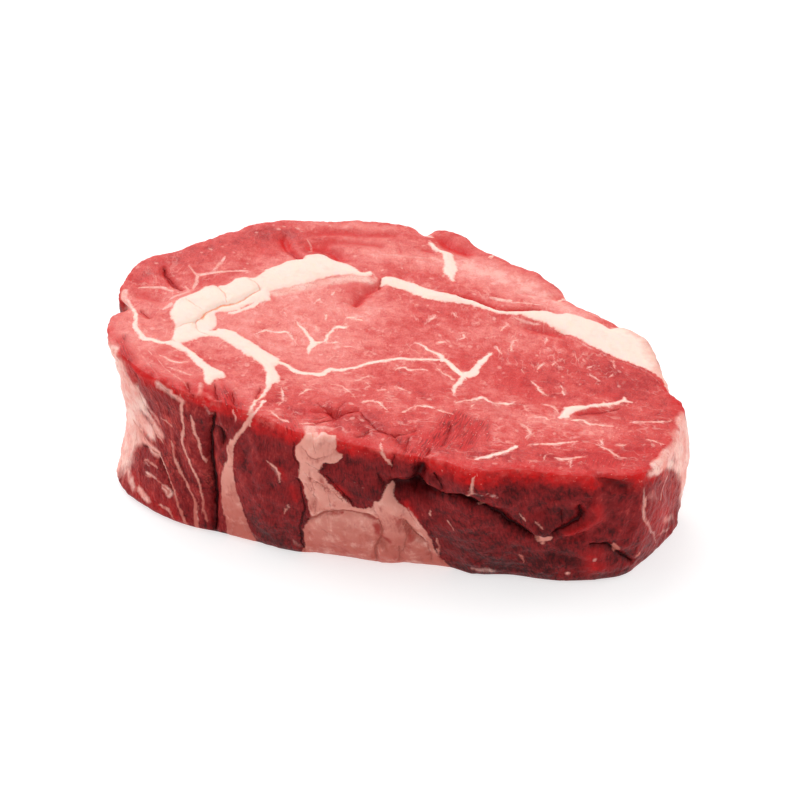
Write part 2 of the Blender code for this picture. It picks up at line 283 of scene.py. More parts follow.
CUT_VEINS = [
    # The thin lobe's edge along the underside of the kernel.
    [(-48.6, 4.6, .7), (-44.8, 7, .9), (-41.6, 10.6, 1), (-38.6, 14.6, 1)],
    # The long vein through the eye, its fork and its branches.
    [(-33, -19.6, .9), (-31, -20.6, .9), (-29.2, -22.4, 1), (-27, -23.8, 1), (-24, -24.2, 1),
     (-21.2, -24.1, 1.2), (-19.6, -23, 1.1), (-18.2, -21.2, 1), (-16.6, -21, .8),
     (-14.6, -20.9, .8), (-12.8, -20, .7), (-10.8, -18.8, .6), (-8.6, -17.2, .7),
     (-6.4, -16, .9), (-3, -14.8, .7), (0, -13.6, .7), (3, -12.9, .8), (7, -12.6, .6),
     (11, -12.2, .6), (13.8, -12, .8), (15.6, -13.2, 1), (17, -15, 1.1), (18.2, -17.2, 1.2),
     (19.4, -18.8, 1.2), (21.4, -18.8, 1.8), (23.2, -17.6, 1.6), (24, -15, 1.1),
     (25.4, -12, 1), (27, -9.6, 1.1), (28.4, -7.2, .7)],
    [(20.2, -19.6, .9), (19.4, -22, 1.1), (18.4, -24.2, 1.1), (17.6, -26, .8), (17.3, -28.6, .4)],
    [(14.6, -12.4, 1), (13.8, -10, 1), (12, -8.4, .7), (10.2, -7.2, .7), (9, -5.6, .6),
     (7.8, -5.1, .5), (6.4, -4.2, .3)],
    [(-28.6, 2.4, .3), (-27.4, .2, .5), (-26.4, -2, .7), (-25.4, -4.4, .8), (-24.4, -6.6, 1),
     (-23.8, -8.8, 1.2), (-24.8, -11, .8), (-25, -13.2, .3)],
    [(-24, -8, 1), (-22, -7.4, .7), (-20.4, -6.4, .6), (-19.8, -4, .6), (-18.8, -1.6, .6),
     (-17.6, .6, .6), (-16.4, 1.7, .9), (-15, 1.7, .7), (-14.2, 2.2, .3)],
    [(-20.6, -6.8, .6), (-18.6, -7.2, .4), (-16.8, -6.6, .5)],
    [(-40.4, -5, .3), (-38.8, -3.6, .4), (-37.4, -2.8, .4), (-35.4, -3.4, .4),
     (-33.4, -3.6, .6), (-32, -2.6, .7), (-31, -3.6, .5), (-30.4, -5.2, .5)],
    [(-31.2, -5, .3), (-29.6, -7.2, .25), (-28.4, -9.4, .2)],
    # Short flecks of the upper eye.
    [(-14.6, -8.6, .6), (-12.4, -8.6, .5)], [(-13.6, 7, 1), (-12.4, 7.2, .9)],
    [(-10.8, 6.2, .7), (-10.2, 6, .6)], [(-20.6, 6.2, .4), (-20.4, 7.6, .5)],
    [(-32.6, 7, .5), (-32.2, 5.8, .5)], [(-23, -.6, .3), (-22.8, .6, .3)],
    [(-24, 14, .4), (-22.6, 16.2, .6)], [(-18.8, 19.4, .6), (-18.2, 20.4, .5)],
    [(10.2, 8, .3), (11.2, 9.6, .5), (12.4, 11.4, .4)],
    [(19.8, 0, .4), (20.6, 1.2, .8), (20.4, 3.2, .4)], [(13.6, -3, 1), (14.8, -2.8, .9)],
    [(18.2, 13.4, .5), (18.8, 12, .5)], [(32.2, 6.4, .3), (33, 8.2, .5), (34, 9.4, .3)],
    [(34.6, -4.4, .25), (35, -2, .35), (35.4, .6, .3), (36.6, 1.6, .3)],
    [(42, -13, .3), (43, -11.4, .4), (43.8, -10.4, .3)],
    [(57.6, -14.6, .5), (58.8, -15.8, .6), (59.8, -16.8, .4)],
    [(57.2, -10.4, .4), (57.8, -10, .3)], [(46.8, -10.6, .3), (47.4, -9.4, .3)],
    [(48.2, -21.6, .2), (48.8, -23.4, .4), (49, -25.4, .6)],
    [(40, -20, .25), (41.4, -22.8, .35), (42.4, -24.6, .6), (43.6, -26, .4)],
    [(45.4, 3.6, .25), (45.2, 1.4, .25)], [(30.4, -3.4, .3), (31.4, -6.4, .3)],
    [(37.2, -14.6, .4), (37.6, -15.4, .4)], [(54, -5, .2), (54.4, -6.6, .25)],
    [(65.2, -6, .2), (65, -9.6, .25)], [(63.4, -15, .3), (64.2, -13.6, .3)],
    # Curls and threads of the lower eye.
    [(.8, -18.6, .3), (1.6, -17.6, .4), (3.2, -17.4, .4), (4.6, -18.6, .5), (6.4, -18.2, .3),
     (8, -17.4, .4), (9.4, -17.6, .3)],
    [(13, -16.8, .3), (14.4, -18.8, .35), (16, -20.2, .3), (17, -21.4, .4)],
    [(-10.6, -25.6, .25), (-8.4, -24, .35), (-6.4, -23, .35)],
    [(-7.6, -26.6, .3), (-6.8, -28, .4), (-8, -29, .25)], [(1, -28, .5), (2.6, -28.8, .4)],
    [(-4.4, -30, .25), (-2.2, -29.4, .3)],
    [(-8.4, -36, .3), (-6.2, -35.4, .4), (-4.4, -35.6, .4), (-3.4, -37.4, .4), (-2.2, -39, .35)],
    [(2.8, -39.4, .4), (4.2, -38.4, .35), (5.6, -37, .3), (7.4, -35.8, .35), (9, -35.8, .45),
     (10.8, -36.8, .35)],
    [(12.4, -38, .25), (14, -38.4, .5), (16.6, -38.8, .2)],
    [(-26.4, -34.6, .25), (-25, -32.4, .35), (-23, -31.4, .4)],
    [(-17.2, -28.6, .3), (-15.2, -29.2, .35), (-13.4, -31, .2), (-11, -34, .15)],
    [(-32, -32, .25), (-31.4, -35, .3), (-31.2, -38.4, .3), (-32, -40.4, .25)],
    [(-34, -44.6, .3), (-32.4, -46.4, .5), (-30.4, -47.8, .6), (-29.4, -48.4, .4)],
    [(-26, -48.8, .2), (-22, -48, .25), (-19, -47.8, .2)],
    [(18, -33.4, .3), (20.4, -32, .3), (23.4, -30.8, .5), (25.6, -29.6, .5), (27, -31.4, .4),
     (29.4, -32.4, .3), (32, -32.4, .5), (34, -31.2, .3)],
    [(37.2, -32.8, .3), (37.8, -35, .25)], [(22.4, -34.4, .5), (22.8, -33.6, .4)],
    [(43.2, -31.6, .3), (45, -32, .3), (46.4, -33.8, .35)],
    [(40.4, -38, .5), (42.4, -37.8, .5), (43.2, -38.6, .3)],
    [(36.4, -42, .25), (37.6, -43.6, .3), (38.4, -45.6, .5), (37.2, -47.6, .25)],
    [(51, -38, .5), (53.6, -37.8, .5), (55.2, -39.2, .5), (58.4, -39.6, .45), (62, -39.8, .3)],
    [(22.6, -59.4, .6), (25.4, -58.2, .7), (28.6, -56.6, .8), (30.6, -55.4, .7),
     (32, -54, .6), (34, -52.6, .7)],
    [(38.6, -51.2, .25), (42, -50.4, .4), (46, -49.4, .45), (51, -48, .25)],
    [(41.4, -57.6, .25), (41.8, -55.8, .3), (43, -55, .2)],
    [(45, -56.6, .4), (47.6, -56.4, .5), (50.6, -55.6, .3), (53, -54.6, .2)],
    [(49, -57, .4), (48.6, -59.4, .4)],
    [(56.6, -49, .2), (59.6, -51.2, .3), (61.6, -53.2, .25), (64, -54.2, .2)],
    [(62.4, -48.6, .3), (65, -48.2, .3)], [(57.6, -46.6, .35), (58, -48.4, .3)],
    [(67.6, -37.2, .25), (71, -36.4, .35), (75, -36.2, .4), (79, -34.6, .2)],
    [(71.6, -45.2, .3), (74, -46.4, .5), (75.4, -46.8, .3)],
    # Seams of the small muscles at the left end.
    [(-79.5, 9, .5), (-78.5, 6, .6), (-77.4, 3.5, .7), (-76.2, .8, .8), (-76.2, -2.5, .8),
     (-76, -5, .9), (-74.8, -7.5, 1), (-73.6, -10, .9), (-72.6, -12, 1.2), (-70, -12.4, 1),
     (-67.5, -13.6, 1), (-65, -13, 1)],
    [(-66.6, -20.2, .3), (-64, -22, .4), (-61.4, -23, .5), (-59.6, -22.6, .3)],
    [(-63.8, -26, .2), (-60.6, -27.4, .3), (-58, -28.6, .2)],
    # The band's thin end, where it goes over the front edge.
    [(-38.8, -39.6, .7), (-39.6, -42, .7), (-40, -44.6, .6), (-40.6, -48, .5)],
]
WALL_FAT = [
    # The seam that runs down from the band and widens to the foot.
    [(57.2, 37.4), (56.6, 35), (56.4, 32), (56.6, 29), (56, 25), (56.4, 20), (57.8, 15.4),
     (59, 11), (60.4, 6), (61.6, -3), (52.4, -3), (52.4, 4), (51.4, 10), (51, 16), (51.6, 22),
     (52.8, 26), (54, 30), (54.2, 34), (55, 36.4), (56.4, 37.8)],
    # The loose flap under the front edge.
    [(79.6, 45.4), (80.8, 46.8), (82.6, 45.8), (84.4, 47.2), (86.4, 46.2), (88.2, 46.8),
     (88.8, 44.4), (88.2, 42.8), (90, 41.2), (89.8, 39.8), (88.4, 38.4), (86.8, 38.6),
     (85.6, 39), (84.8, 37.4), (84, 35.8), (82.6, 35.6), (80.4, 34.6), (78.8, 35.4),
     (77.4, 38), (77, 41), (77.8, 43.4)],
    # The mass at the foot, with its neck up to the flap.
    [(78.6, 36), (83, 36.4), (84.8, 34), (87, 31), (90, 27.4), (92, 24.8), (93.6, 23.6),
     (96, 23.4), (98.6, 24.6), (99.6, 26.6), (101, 27.4), (101.8, 30), (102.6, 31.6),
     (104, 31.6), (104.2, 29), (105.6, 27), (108.4, 24.8), (110.4, 20.8), (112.8, 16.8),
     (114.6, 13.4), (115.4, 10), (116.4, 6), (117, -3), (77.6, -3), (77.6, 5), (77.4, 10),
     (79, 14.6), (80.4, 18), (79.8, 22), (79.4, 26), (78.2, 30), (77.8, 33)],
    # The wedge's fat, which runs over the edge at the back right and thins out down the wall.
    [(221.4, 36.6), (223.4, 36), (225, 33), (226, 29), (229.6, 24.4), (231, 18), (235, 14.6),
     (238, 9), (242, 7), (244, 11), (248.6, 12), (250, 17.4), (254, 20.6), (254.6, 27),
     (258, 29), (259.4, 33), (262.6, 36.6)],
    # A scrap left by the knife, and two pale ends of seams.
    [(145, 19.4), (146.4, 20.2), (148, 19.4), (149.8, 19.4), (149.4, 18.2), (148, 18),
     (147.8, 16.8), (146.8, 17.8), (145.6, 18.2)],
    [(167.6, 15.4), (169.2, 14.8), (169.6, 12.6), (168.4, 11.4), (167.4, 13)],
    [(175, 9.8), (176.8, 9.6), (176.8, 8.2), (175.2, 8.2)],
]
WALL_VEINS = [
    # Left end: fine seams between strands of the cap.
    [(14, 25, .4), (20, 23, .5), (25, 21.4, .6), (29.6, 20.4, .6), (32, 17, .5),
     (34.6, 13, .6), (36, 9.6, .5), (37.6, 6, .6), (39, 2, .5), (39.4, -1, .4)],
    [(40.2, 47.5, .5), (40, 43, .45), (39.6, 38.6, .45), (39.8, 35, .5), (38.6, 30, .5),
     (39.4, 26.6, .5), (41.4, 22.6, .5), (43.4, 19, .5), (44.6, 15, .4), (45, 10, .4),
     (45.8, 5, .3)],
    [(43, 41, .3), (43, 37.6, .45), (43.8, 33.4, .5), (44.8, 29.4, .4), (46.4, 25.2, .3)],
    [(34.4, 28, .3), (35, 23.4, .4), (37, 19, .5), (39.4, 16, .45), (41.6, 12, .4),
     (42.4, 8, .8), (42.4, 3, .9), (42.6, -1, .9)],
    [(26, 30, .5), (29, 27.6, .6), (30.4, 26.4, .3)], [(31, 35.4, .3), (33, 35, .3), (35, 34, .3)],
    [(22, 16, .3), (24.6, 17.2, .4), (28, 17, .3)], [(24, 11.6, .4), (27, 13, .5), (29.6, 12.4, .3)],
    [(31.4, 11.6, .5), (33, 10.4, .7), (32.4, 9.4, .4)], [(30, 5, .4), (33, 4.6, .6), (35, 2, .5)],
    # Between the two big seams of the front.
    [(56.2, 35.6, .7), (58.2, 39.4, .6), (60.2, 42.6, .7), (61.8, 45.6, .75), (62.8, 49, .6),
     (62.6, 53, .6)],
    [(69, 34.6, .2), (71, 33.6, .5), (72, 31.6, .4), (71.8, 29, .2)],
    [(74.4, 20.6, .2), (73, 17.6, .25)],
    # Right of the fat mass.
    [(109, 25, .5), (110.6, 21.6, .7), (112.4, 18, .8), (113.6, 15.4, .5)],
    [(100.4, 46.4, .4), (101.4, 43.4, .45), (103.2, 41, .4), (104, 39, .2)],
    [(114.8, 25, .4), (114.6, 23.8, .3)], [(116.4, 13.4, .3), (116.8, 10, .4), (116.4, 6, .3)],
    [(127.6, 40, .5), (127, 36, .45), (125.4, 33, .4)], [(120.4, 22.4, .3), (121.6, 20.4, .3)],
    [(141, 27.6, .35), (142, 25.4, .35)], [(145.6, 24.6, .3), (147, 23, .3)],
    [(129.2, 30.6, .4), (130.6, 30.4, .3)], [(141.6, 11, .3), (142.4, 8.4, .3)],
    [(175.6, 30, .25), (175, 26, .3), (176.4, 21, .2)],
    # Round the right end and the back.
    [(266, 30, .2), (268, 22, .45), (266, 13, .35), (269, 4, .5), (269.6, -1, .5)],
    [(278, 46, .5), (280, 40, .4), (281.6, 32, .3), (281, 24, .45), (282.6, 15, .3), (280, 7, .5), (280.6, -1, .6)],
    [(281.4, 24, .35), (287, 21, .3), (291, 16, .3), (297, 14, .2)], [(289, 36, .2), (292.4, 31, .35), (292, 27, .2)],
    [(311, 44, .4), (311.4, 36, .3), (309.6, 28, .35), (312, 20, .3), (313.6, 12, .4), (313, 2, .3)],
    [(310, 29, .3), (304, 26.6, .3), (300, 22, .2)], [(326, 31, .2), (323.6, 25, .4), (325, 20, .2)],
    [(339.4, 46, .5), (341.6, 38, .35), (343, 29, .45), (342.4, 20, .3), (343.4, 11, .4), (341, 1, .6)],
    [(343, 29, .3), (349, 25, .35), (352.6, 19, .3), (358, 16, .2)], [(358, 38, .2), (360, 33, .35), (359.4, 29, .2)],
    [(362, 14, .2), (360.4, 9, .4), (362.6, 3, .3)], [(-79, 46, .4), (-81.6, 36, .3), (-83, 26, .4), (-81.6, 14, .35), (-80, 1, .5)],
    [(-63, 40, .2), (-60.6, 34, .4), (-62, 29, .2)], [(-47, 46, .4), (-44.4, 33, .35), (-45.4, 22, .4), (-47.4, 10, .3), (-46.6, 0, .4)],
    [(-45, 24, .3), (-39, 20, .35), (-35.6, 14, .2)], [(-31, 41, .2), (-33.6, 36, .4), (-32.6, 31, .2)],
    [(-15, 50, .5), (-13.4, 38, .4), (-13, 26, .45), (-15.6, 12, .4), (-17, 0, .6)],
]
VEIN_REACH = 2.6          # how far from a vein its field is still kept
SOFT_EDGE = 0.04          # part of a drawn half width that is only the line's soft border
SLENDER = 1.45            # marks narrower than this taper to their ends
STRAY = (0.45, 4.0)       # seams stray from their drawn paths: how far, over what distance


def uneven(places, size, seed, octaves=3):
    """Smooth unevenness from about -1 to 1 whose bumps are that many millimetres wide."""
    shift = Vector((17.3 * seed, 5.1 * seed, 9.7 * seed))
    return np.array([noise.fractal(Vector(p) / size + shift, 1.0, 2.0, octaves) for p in places])


def offsets(u, v, curve):
    """Signed distance from points to an open curve, and which part of it is nearest."""
    nearest, signed, place = (np.full(u.shape, value) for value in (np.inf, 0.0, 0.0))
    for k in range(len(curve) - 1):
        (u0, v0), (u1, v1) = curve[k, :2], curve[k + 1, :2]
        du, dv = u1 - u0, v1 - v0
        part = np.clip(((u - u0) * du + (v - v0) * dv) / (du * du + dv * dv + 1e-12), 0.0, 1.0)
        gap = np.hypot(u - u0 - part * du, v - v0 - part * dv)
        closer = gap < nearest
        side = np.where((u - u0) * dv - (v - v0) * du < 0.0, -1.0, 1.0)
        nearest = np.where(closer, gap, nearest)
        signed = np.where(closer, gap * side, signed)
        place = np.where(closer, k + part, place)
    return signed, place


def close_to(u, v, curve, reach):
    """Numbers of the points within reach of a curve's box."""
    low, high = curve[:, :2].min(axis=0) - reach, curve[:, :2].max(axis=0) + reach
    return np.nonzero((u > low[0]) & (u < high[0]) & (v > low[1]) & (v < high[1]))[0]


def within(u, v, outline, reach=6.0):
    """How deep points lie inside a closed outline, in millimetres; below 0 outside it."""
    curve = smooth_path(outline, closed=True, steps=4)
    depth = np.full(u.shape, -reach)
    near = close_to(u, v, curve, reach)
    pu, pv = u[near], v[near]
    ends = np.roll(curve, -1, axis=0)
    gap, inside = np.full(pu.shape, np.inf), np.zeros(pu.shape, bool)
    for (u0, v0), (u1, v1) in zip(curve, ends):
        du, dv = u1 - u0, v1 - v0
        part = np.clip(((pu - u0) * du + (pv - v0) * dv) / (du * du + dv * dv + 1e-12), 0.0, 1.0)
        gap = np.minimum(gap, np.hypot(pu - u0 - part * du, pv - v0 - part * dv))
        if v0 != v1:
            crossing = ((v0 > pv) != (v1 > pv)) & (pu < u0 + (pv - v0) * du / dv)
            inside ^= crossing
    depth[near] = np.maximum(np.where(inside, gap, -gap), -reach)
    return depth


def stroke(u, v, path, half_width):
    """Soft trace of a path at points: 1 along its middle, fading over its half width.

    A slender trace thins out towards both ends.
    """
    curve = smooth_path(path)
    total = np.zeros(u.shape)
    near = close_to(u, v, curve, 3.0 * half_width)
    signed, place = offsets(u[near], v[near], curve)
    last = len(curve) - 1
    if half_width < SLENDER and np.hypot(*(curve[-1, :2] - curve[0, :2])) > 3.0 * half_width:
        to_end = np.minimum(place, last - place) / (0.3 * last)
        signed = signed / np.clip(0.4 + 0.6 * to_end, 0.4, 1.0)
    total[near] = np.exp(-np.abs(signed / half_width) ** 1.6)
    return total


fat_depth = np.full(len(base), -6.0)
CUT_REACH = 8.0           # cut-face marks run this far past the shoulder, down the wall
on_cut = (over < CUT_REACH) | is_sole
on_wall = (over > -CUT_REACH) & ~is_sole
astray = [STRAY[0] * uneven(base, STRAY[1], seed, 4) for seed in (11, 12)]
cut_u, cut_v = unfolded[:, 0] + astray[0], unfolded[:, 1] + astray[1]
side_s, side_h = run_s + astray[0], run_h + astray[1]
for areas, u, v, here in ((CUT_FAT, cut_u, cut_v, on_cut), (WALL_FAT, side_s, side_h, on_wall)):
    for outline in areas:
        depth = np.where(here, within(u, v, outline), -6.0)
        fat_depth = np.maximum(fat_depth, depth)


def lines(families):
    """Nearest line at each point: how far it fills past the point, signed offset, half width.

    The half width shrinks away from the line, so that two lines side by side stay apart.
    """
    offset, half_width, best = (np.full(len(base), value)
                                for value in (VEIN_REACH, -VEIN_REACH, -VEIN_REACH))
    for paths, u, v, here in families:
        for path in paths:
            curve = smooth_path(path)
            near = close_to(u, v, curve, VEIN_REACH)
            near = near[here[near]]
            signed, place = offsets(u[near], v[near], curve)
            length = np.hypot(*np.diff(curve[:, :2], axis=0).T).sum()
            slim = min(1.0, 0.5 + length / 30.0)
            half = slim * np.interp(place, np.arange(len(curve)), curve[:, 2]) - SOFT_EDGE
            fill = half - np.abs(signed)
            wins = fill > best[near]
            near, signed, half, fill = near[wins], signed[wins], half[wins], fill[wins]
            best[near], offset[near] = fill, signed
            half_width[near] = half - 2.0 * np.maximum(np.abs(signed) - np.maximum(half, 0.75), 0.0)
    return best, offset, half_width


vein_best, vein_offset, vein_half = lines(((CUT_VEINS, cut_u, cut_v, on_cut),
                                           (WALL_VEINS, side_s, side_h, on_wall)))

# ---------------------------------------------------------------------------
# The lean. Red muscle, cut across on both faces and pulled along its strands on the wall,
# where it is darker: partly its own colour, partly painted shade. Films of connective tissue
# lie over parts of it, and creases, a torn cavity and loose flaps open where one muscle leaves the next.
# Marks are (path, half width, amount); relief amounts are millimetres out of the surface.
# ---------------------------------------------------------------------------
CUT_RELIEF = [
    # Folds between the lobes of the kernel.
    ([(-58.4, -1.6), (-57, 1), (-55.2, 4.4), (-52.4, 7.2), (-48.6, 9.4), (-45, 12.4), (-42.6, 15.6),
      (-40.6, 18.4)], .9, -.9),
    ([(-53.8, 18.6), (-52.2, 16), (-50.8, 13), (-50.4, 10)], .8, -.6),
    ([(-64.6, -4.6), (-61.6, -3.4), (-58.4, -1.6)], .8, -.5), ([(-62, 9.6), (-60, 7), (-57, 4.6)], .8, -.35),
    ([(-44, 23.4), (-41.4, 20.6), (-40.4, 18)], .8, -.4), ([(-54.6, -8), (-57.6, -6), (-58.4, -2)], .7, -.4),
    ([(-61, 6), (-50, 16), (-37, 27), (-25, 33), (-12, 31)], 8, 1.0),
    ([(14, 22), (32, 16), (50, 13), (66, 3)], 5, .6),
    ([(-52, -8), (-42, -16), (-36, -26), (-37, -38)], 4, .6),
    ([(-29.4, 40), (-33, 45), (-35, 52)], 1.5, -2.1), ([(-38, 40), (-36, 48)], 3.5, -.7),
    ([(-26, 47.4), (-20, 46.4), (-17, 42)], 2.6, -2.2), ([(-24, 56), (-16, 57.6), (-6, 57), (0, 58.4)], 2.2, -.9),
    ([(-21, 50.6), (-13, 52), (-4, 50.6)], 1.9, -.7), ([(-44, 34), (-42, 44)], 2.5, -.9),
    ([(-70.8, 28), (-68.4, 22.6), (-64.2, 16.2)], 1.2, -1.7), ([(-78, 22), (-72, 20)], 4, -.8),
    ([(-76, 11), (-70, 10)], 2, -1.0), ([(-75, 3), (-72, 0)], 1.2, -.8),
    ([(-6, 25.4), (-9, 21.6), (-11.6, 16)], 1.8, -1.8), ([(-4.4, 29.6), (-4.6, 26)], .9, -.9),
    ([(20, 23.8), (26, 21.4), (30, 18.8), (32.4, 17.6), (38, 18.2), (44, 19.4)], 1.1, -1.7),
    ([(40, 9.6), (45, 8), (50, 6.2)], 1.8, -1.3), ([(16, 57), (19, 54), (23, 51.6)], 3, -1.8),
    ([(9, 51), (12, 50)], 1.6, -.9), ([(2, 33), (8, 39)], 1.6, -.7), ([(40, 29), (50, 27)], 2, -.8),
    ([(-22.4, -42.2), (-18, -41.6), (-16, -43), (-13.4, -41.6), (-10.2, -40)], 1.0, -1.3),
    ([(-17, -42), (-16, -44.4)], 1.3, -.9), ([(-17, -42), (-19, -40.4), (-21.6, -38.4)], .6, -.5),
    ([(-16, -42), (-15.4, -40), (-14.2, -37.6)], .6, -.5), ([(-18, -43), (-19.4, -44.6), (-22, -46)], .6, -.5),
    ([(-12.6, -46.6), (-12, -49)], 4, .8), ([(-22, -48), (-18, -46), (-16, -44)], .7, -.9),
    ([(-10, -40), (-8.2, -42.8), (-6.2, -46), (-4, -48.8), (-1, -50), (3, -49.6), (6.4, -47.4)],
     .6, -.9),
    ([(-10.4, -53.4), (-8.2, -51.6), (-7, -49.6)], .7, -1.0), ([(0, -50), (2, -54)], .8, -.8),
    ([(16, -44), (15, -49), (13.6, -54)], .9, -.8), ([(20.6, -43), (19.4, -52)], 3.0, -.4),
    ([(4, -52), (3, -57)], .9, -1.0), ([(10, -56), (8, -60)], 1.2, -1),
    ([(-66.4, -33.6), (-63.4, -38)], 1.1, -1.0), ([(-58.4, -33), (-56.6, -38)], 1.2, -1.1),
    ([(-54.8, -33), (-54.2, -37.6)], .9, 1.0), ([(-50.4, -33), (-49.6, -39)], 1.2, -1.2),
    ([(-45.6, -36), (-44.4, -41)], 1.2, -1.2), ([(-47.4, -31), (-44.6, -34)], .8, .5),
    ([(-37.8, -34), (-38.6, -38.6)], .9, -.8), ([(52.4, -34.8), (58, -33), (64, -30.6)], 1.2, -.7),
]
WALL_RELIEF = [
    ([(50, 43.6), (48.8, 39), (47.8, 30), (48.4, 18), (48.2, 0)], 1.3, -2.7),
    ([(50.6, 39.4), (52.6, 37.6), (52.8, 34)], 1.3, -1.6), ([(56, 44), (54.4, 40)], 1.5, -1.0),
    ([(66, 40), (66, 12)], 8, 1.4),     ([(77.2, 31), (78.8, 21), (76.8, 12), (76.4, 0)], 1.3, -.7),
    ([(62.6, 37), (60.4, 34)], 1.4, -.8), ([(70, 26), (64, 24)], 1.6, -.5),
    ([(83, 43), (83, 37)], 4.4, 2.2), ([(79, 42.6), (82, 40.4), (86, 40.8)], .9, -.7),
    ([(81.6, 46), (83.4, 43)], .8, -.5), ([(80.6, 38), (83.6, 36.4)], .7, -.5), ([(85, 37.4), (89, 38.8), (91, 41), (91, 45)], 1.4, -.9),
    ([(76.4, 43), (76.6, 38), (78, 35)], .8, -.5), ([(87, 38.9), (89.4, 40.4)], .9, .9),
    ([(84, 12), (96, 10), (106, 6)], 8, 1.6), ([(84, 30), (90, 24)], 3.5, .7),
    ([(79.6, 16), (83.4, 19), (88, 20.8), (93, 21.6), (99, 20.6)], 1.0, -1.1),
    ([(100.4, 20), (101, 14), (99, 9), (98.8, 2)], 1.0, -1.0), ([(80.6, 32.6), (85.6, 30), (90, 26)], .9, -.8),
    ([(79.4, 30), (82, 24), (82, 20)], .8, -.4), ([(106, 21), (108, 15), (107, 8)], 1.2, -.7),
    ([(83, 33.4), (87, 29.8), (91, 25.4)], .7, .6), ([(85.4, 34.6), (90, 28.6), (93, 24.6)], .7, -.45),
    ([(107, 20.6), (110, 15), (112.4, 12.4)], 1.1, -2.0), ([(101.4, 11.4)], 1.6, -1.6),
    ([(101, 7), (104, 5.6)], 3.0, 1.3), ([(80, 34), (82, 28), (81.4, 22)], .6, -.4),
    ([(84, 31.6), (86, 27), (86.4, 23)], .6, -.4), ([(83, 44)], 2.4, .3),
    ([(84, 14), (88, 12)], .8, -.25), ([(88, 9), (94, 6)], 4, .6), ([(104, 27), (106, 22)], 1.4, .6),
    ([(109.6, 26), (112, 20), (114.4, 15)], .8, .7), ([(105.8, 9.6), (106, 5)], .8, -1.2),
    ([(99.4, 9), (99.2, 4)], .7, -.9), ([(113.6, 12), (114.6, 4)], .9, -.9),
    ([(105.4, 31.6), (109, 31.4), (113.4, 31)], 2.6, -5.0), ([(110.8, 32.6), (112.4, 39)], 1.8, -3.6),
    ([(113, 31.2), (119, 31.6), (124, 32.4), (128.6, 31.2), (134, 27.6), (138, 23.8),
      (142, 20.8), (146, 19)], 1.2, -2.6),
    ([(120.6, 32), (124.4, 33.4), (128, 32.2)], 1.0, -1.4), ([(116, 38), (118.4, 34)], 1.2, -1.6),
    ([(113.6, 39), (115.4, 34)], 1.2, 1.0), ([(120, 38), (130, 37), (142, 33)], 4.5, 1.5),
    ([(122, 21), (136, 14)], 8, 1.0), ([(99.6, 36), (101.4, 32)], .9, -1.3),
    ([(93, 34), (97, 30)], 3.5, .8), ([(105, 43), (104, 38)], 1.2, -1.0),
    ([(138, 30.6), (143, 26), (146, 21.6)], 2.0, .9), ([(147, 30), (149.2, 25.4)], 1.4, -.8),
    ([(157, 29.6), (157.6, 26), (154.4, 23), (150, 20.4)], 1.2, -1.5), ([(152.2, 28), (152.8, 23.6)], .8, -.8),
    ([(149.4, 26), (147, 22.4)], 2.4, .5),
    ([(160.4, 30.4), (162, 27), (159, 23.4), (154.6, 20.8)], 2.2, 1.6), ([(164.4, 31), (166.4, 27), (163, 21.6), (156, 18.6)], 1.5, -.6),
    ([(159, 20), (152, 17.6)], 1.4, -1.0), ([(161.4, 40.4), (164.6, 37.4), (170, 34.8)], 2, -1.8),
    ([(161, 15.8), (166.2, 14.4), (170.4, 10), (174.6, 6.6)], 1.2, -1.9),
    ([(150.6, 11.8), (158, 9.6)], 1.6, -1.2), ([(160, 11), (164, 6)], 3, 1.0),
    ([(176, 27), (177, 13)], 8, 1.0), ([(172, 31), (171, 20)], 1.4, -.8),
    ([(180, 31), (192, 21), (199, 9)], 3.0, -.6),
    ([(2, 30), (14, 36)], 5, .8), ([(22, 47), (20.4, 40), (21.6, 35), (26, 31)], .9, -.9),
    ([(27, 14)], 6.5, 1.2), ([(19.6, 19.6), (26, 21.2), (31.4, 17), (34.6, 10)], .8, -.7),
    ([(36.6, 30), (36.8, 22), (40.4, 12), (41, 0)], 1.5, -.6), ([(-9, 44), (-3, 40)], 2, -1.2),
    # Seams and muscles round the right end and down the back.
    ([(222, 36), (226, 20), (221, 0)], 2.2, -1.0), ([(246, 34), (246, 8)], 11, 1.2),
    ([(279, 42), (282, 22), (279, 0)], 2.2, -2.6), ([(296, 36), (299, 22), (297, 8)], 7, 1.4),
    ([(312, 40), (310, 24), (314, 10), (313, 0)], 1.2, -1.6), ([(325, 34), (326, 10)], 6, 1.4),
    ([(340, 44), (343, 24), (341, 0)], 2.4, -2.8), ([(346, 40), (352, 30), (356, 27)], 1.2, -1.4),
    ([(360, 38), (362, 12)], 9, 1.4), ([(-79, 48), (-83, 24), (-80, 0)], 2.2, -2.2),
    ([(-96, 40), (-92, 14)], 4, 1.0), ([(-64, 38), (-66, 12)], 8, 1.4),
    ([(-47, 47), (-44, 30), (-47, 14), (-46, 0)], 1.6, -1.8), ([(-33, 38), (-33, 12)], 7, 1.3),
    ([(-15, 50), (-13, 26), (-17, 0)], 2.4, -2.6), ([(-24, 30), (-20, 24)], 1.2, -1.2),
]
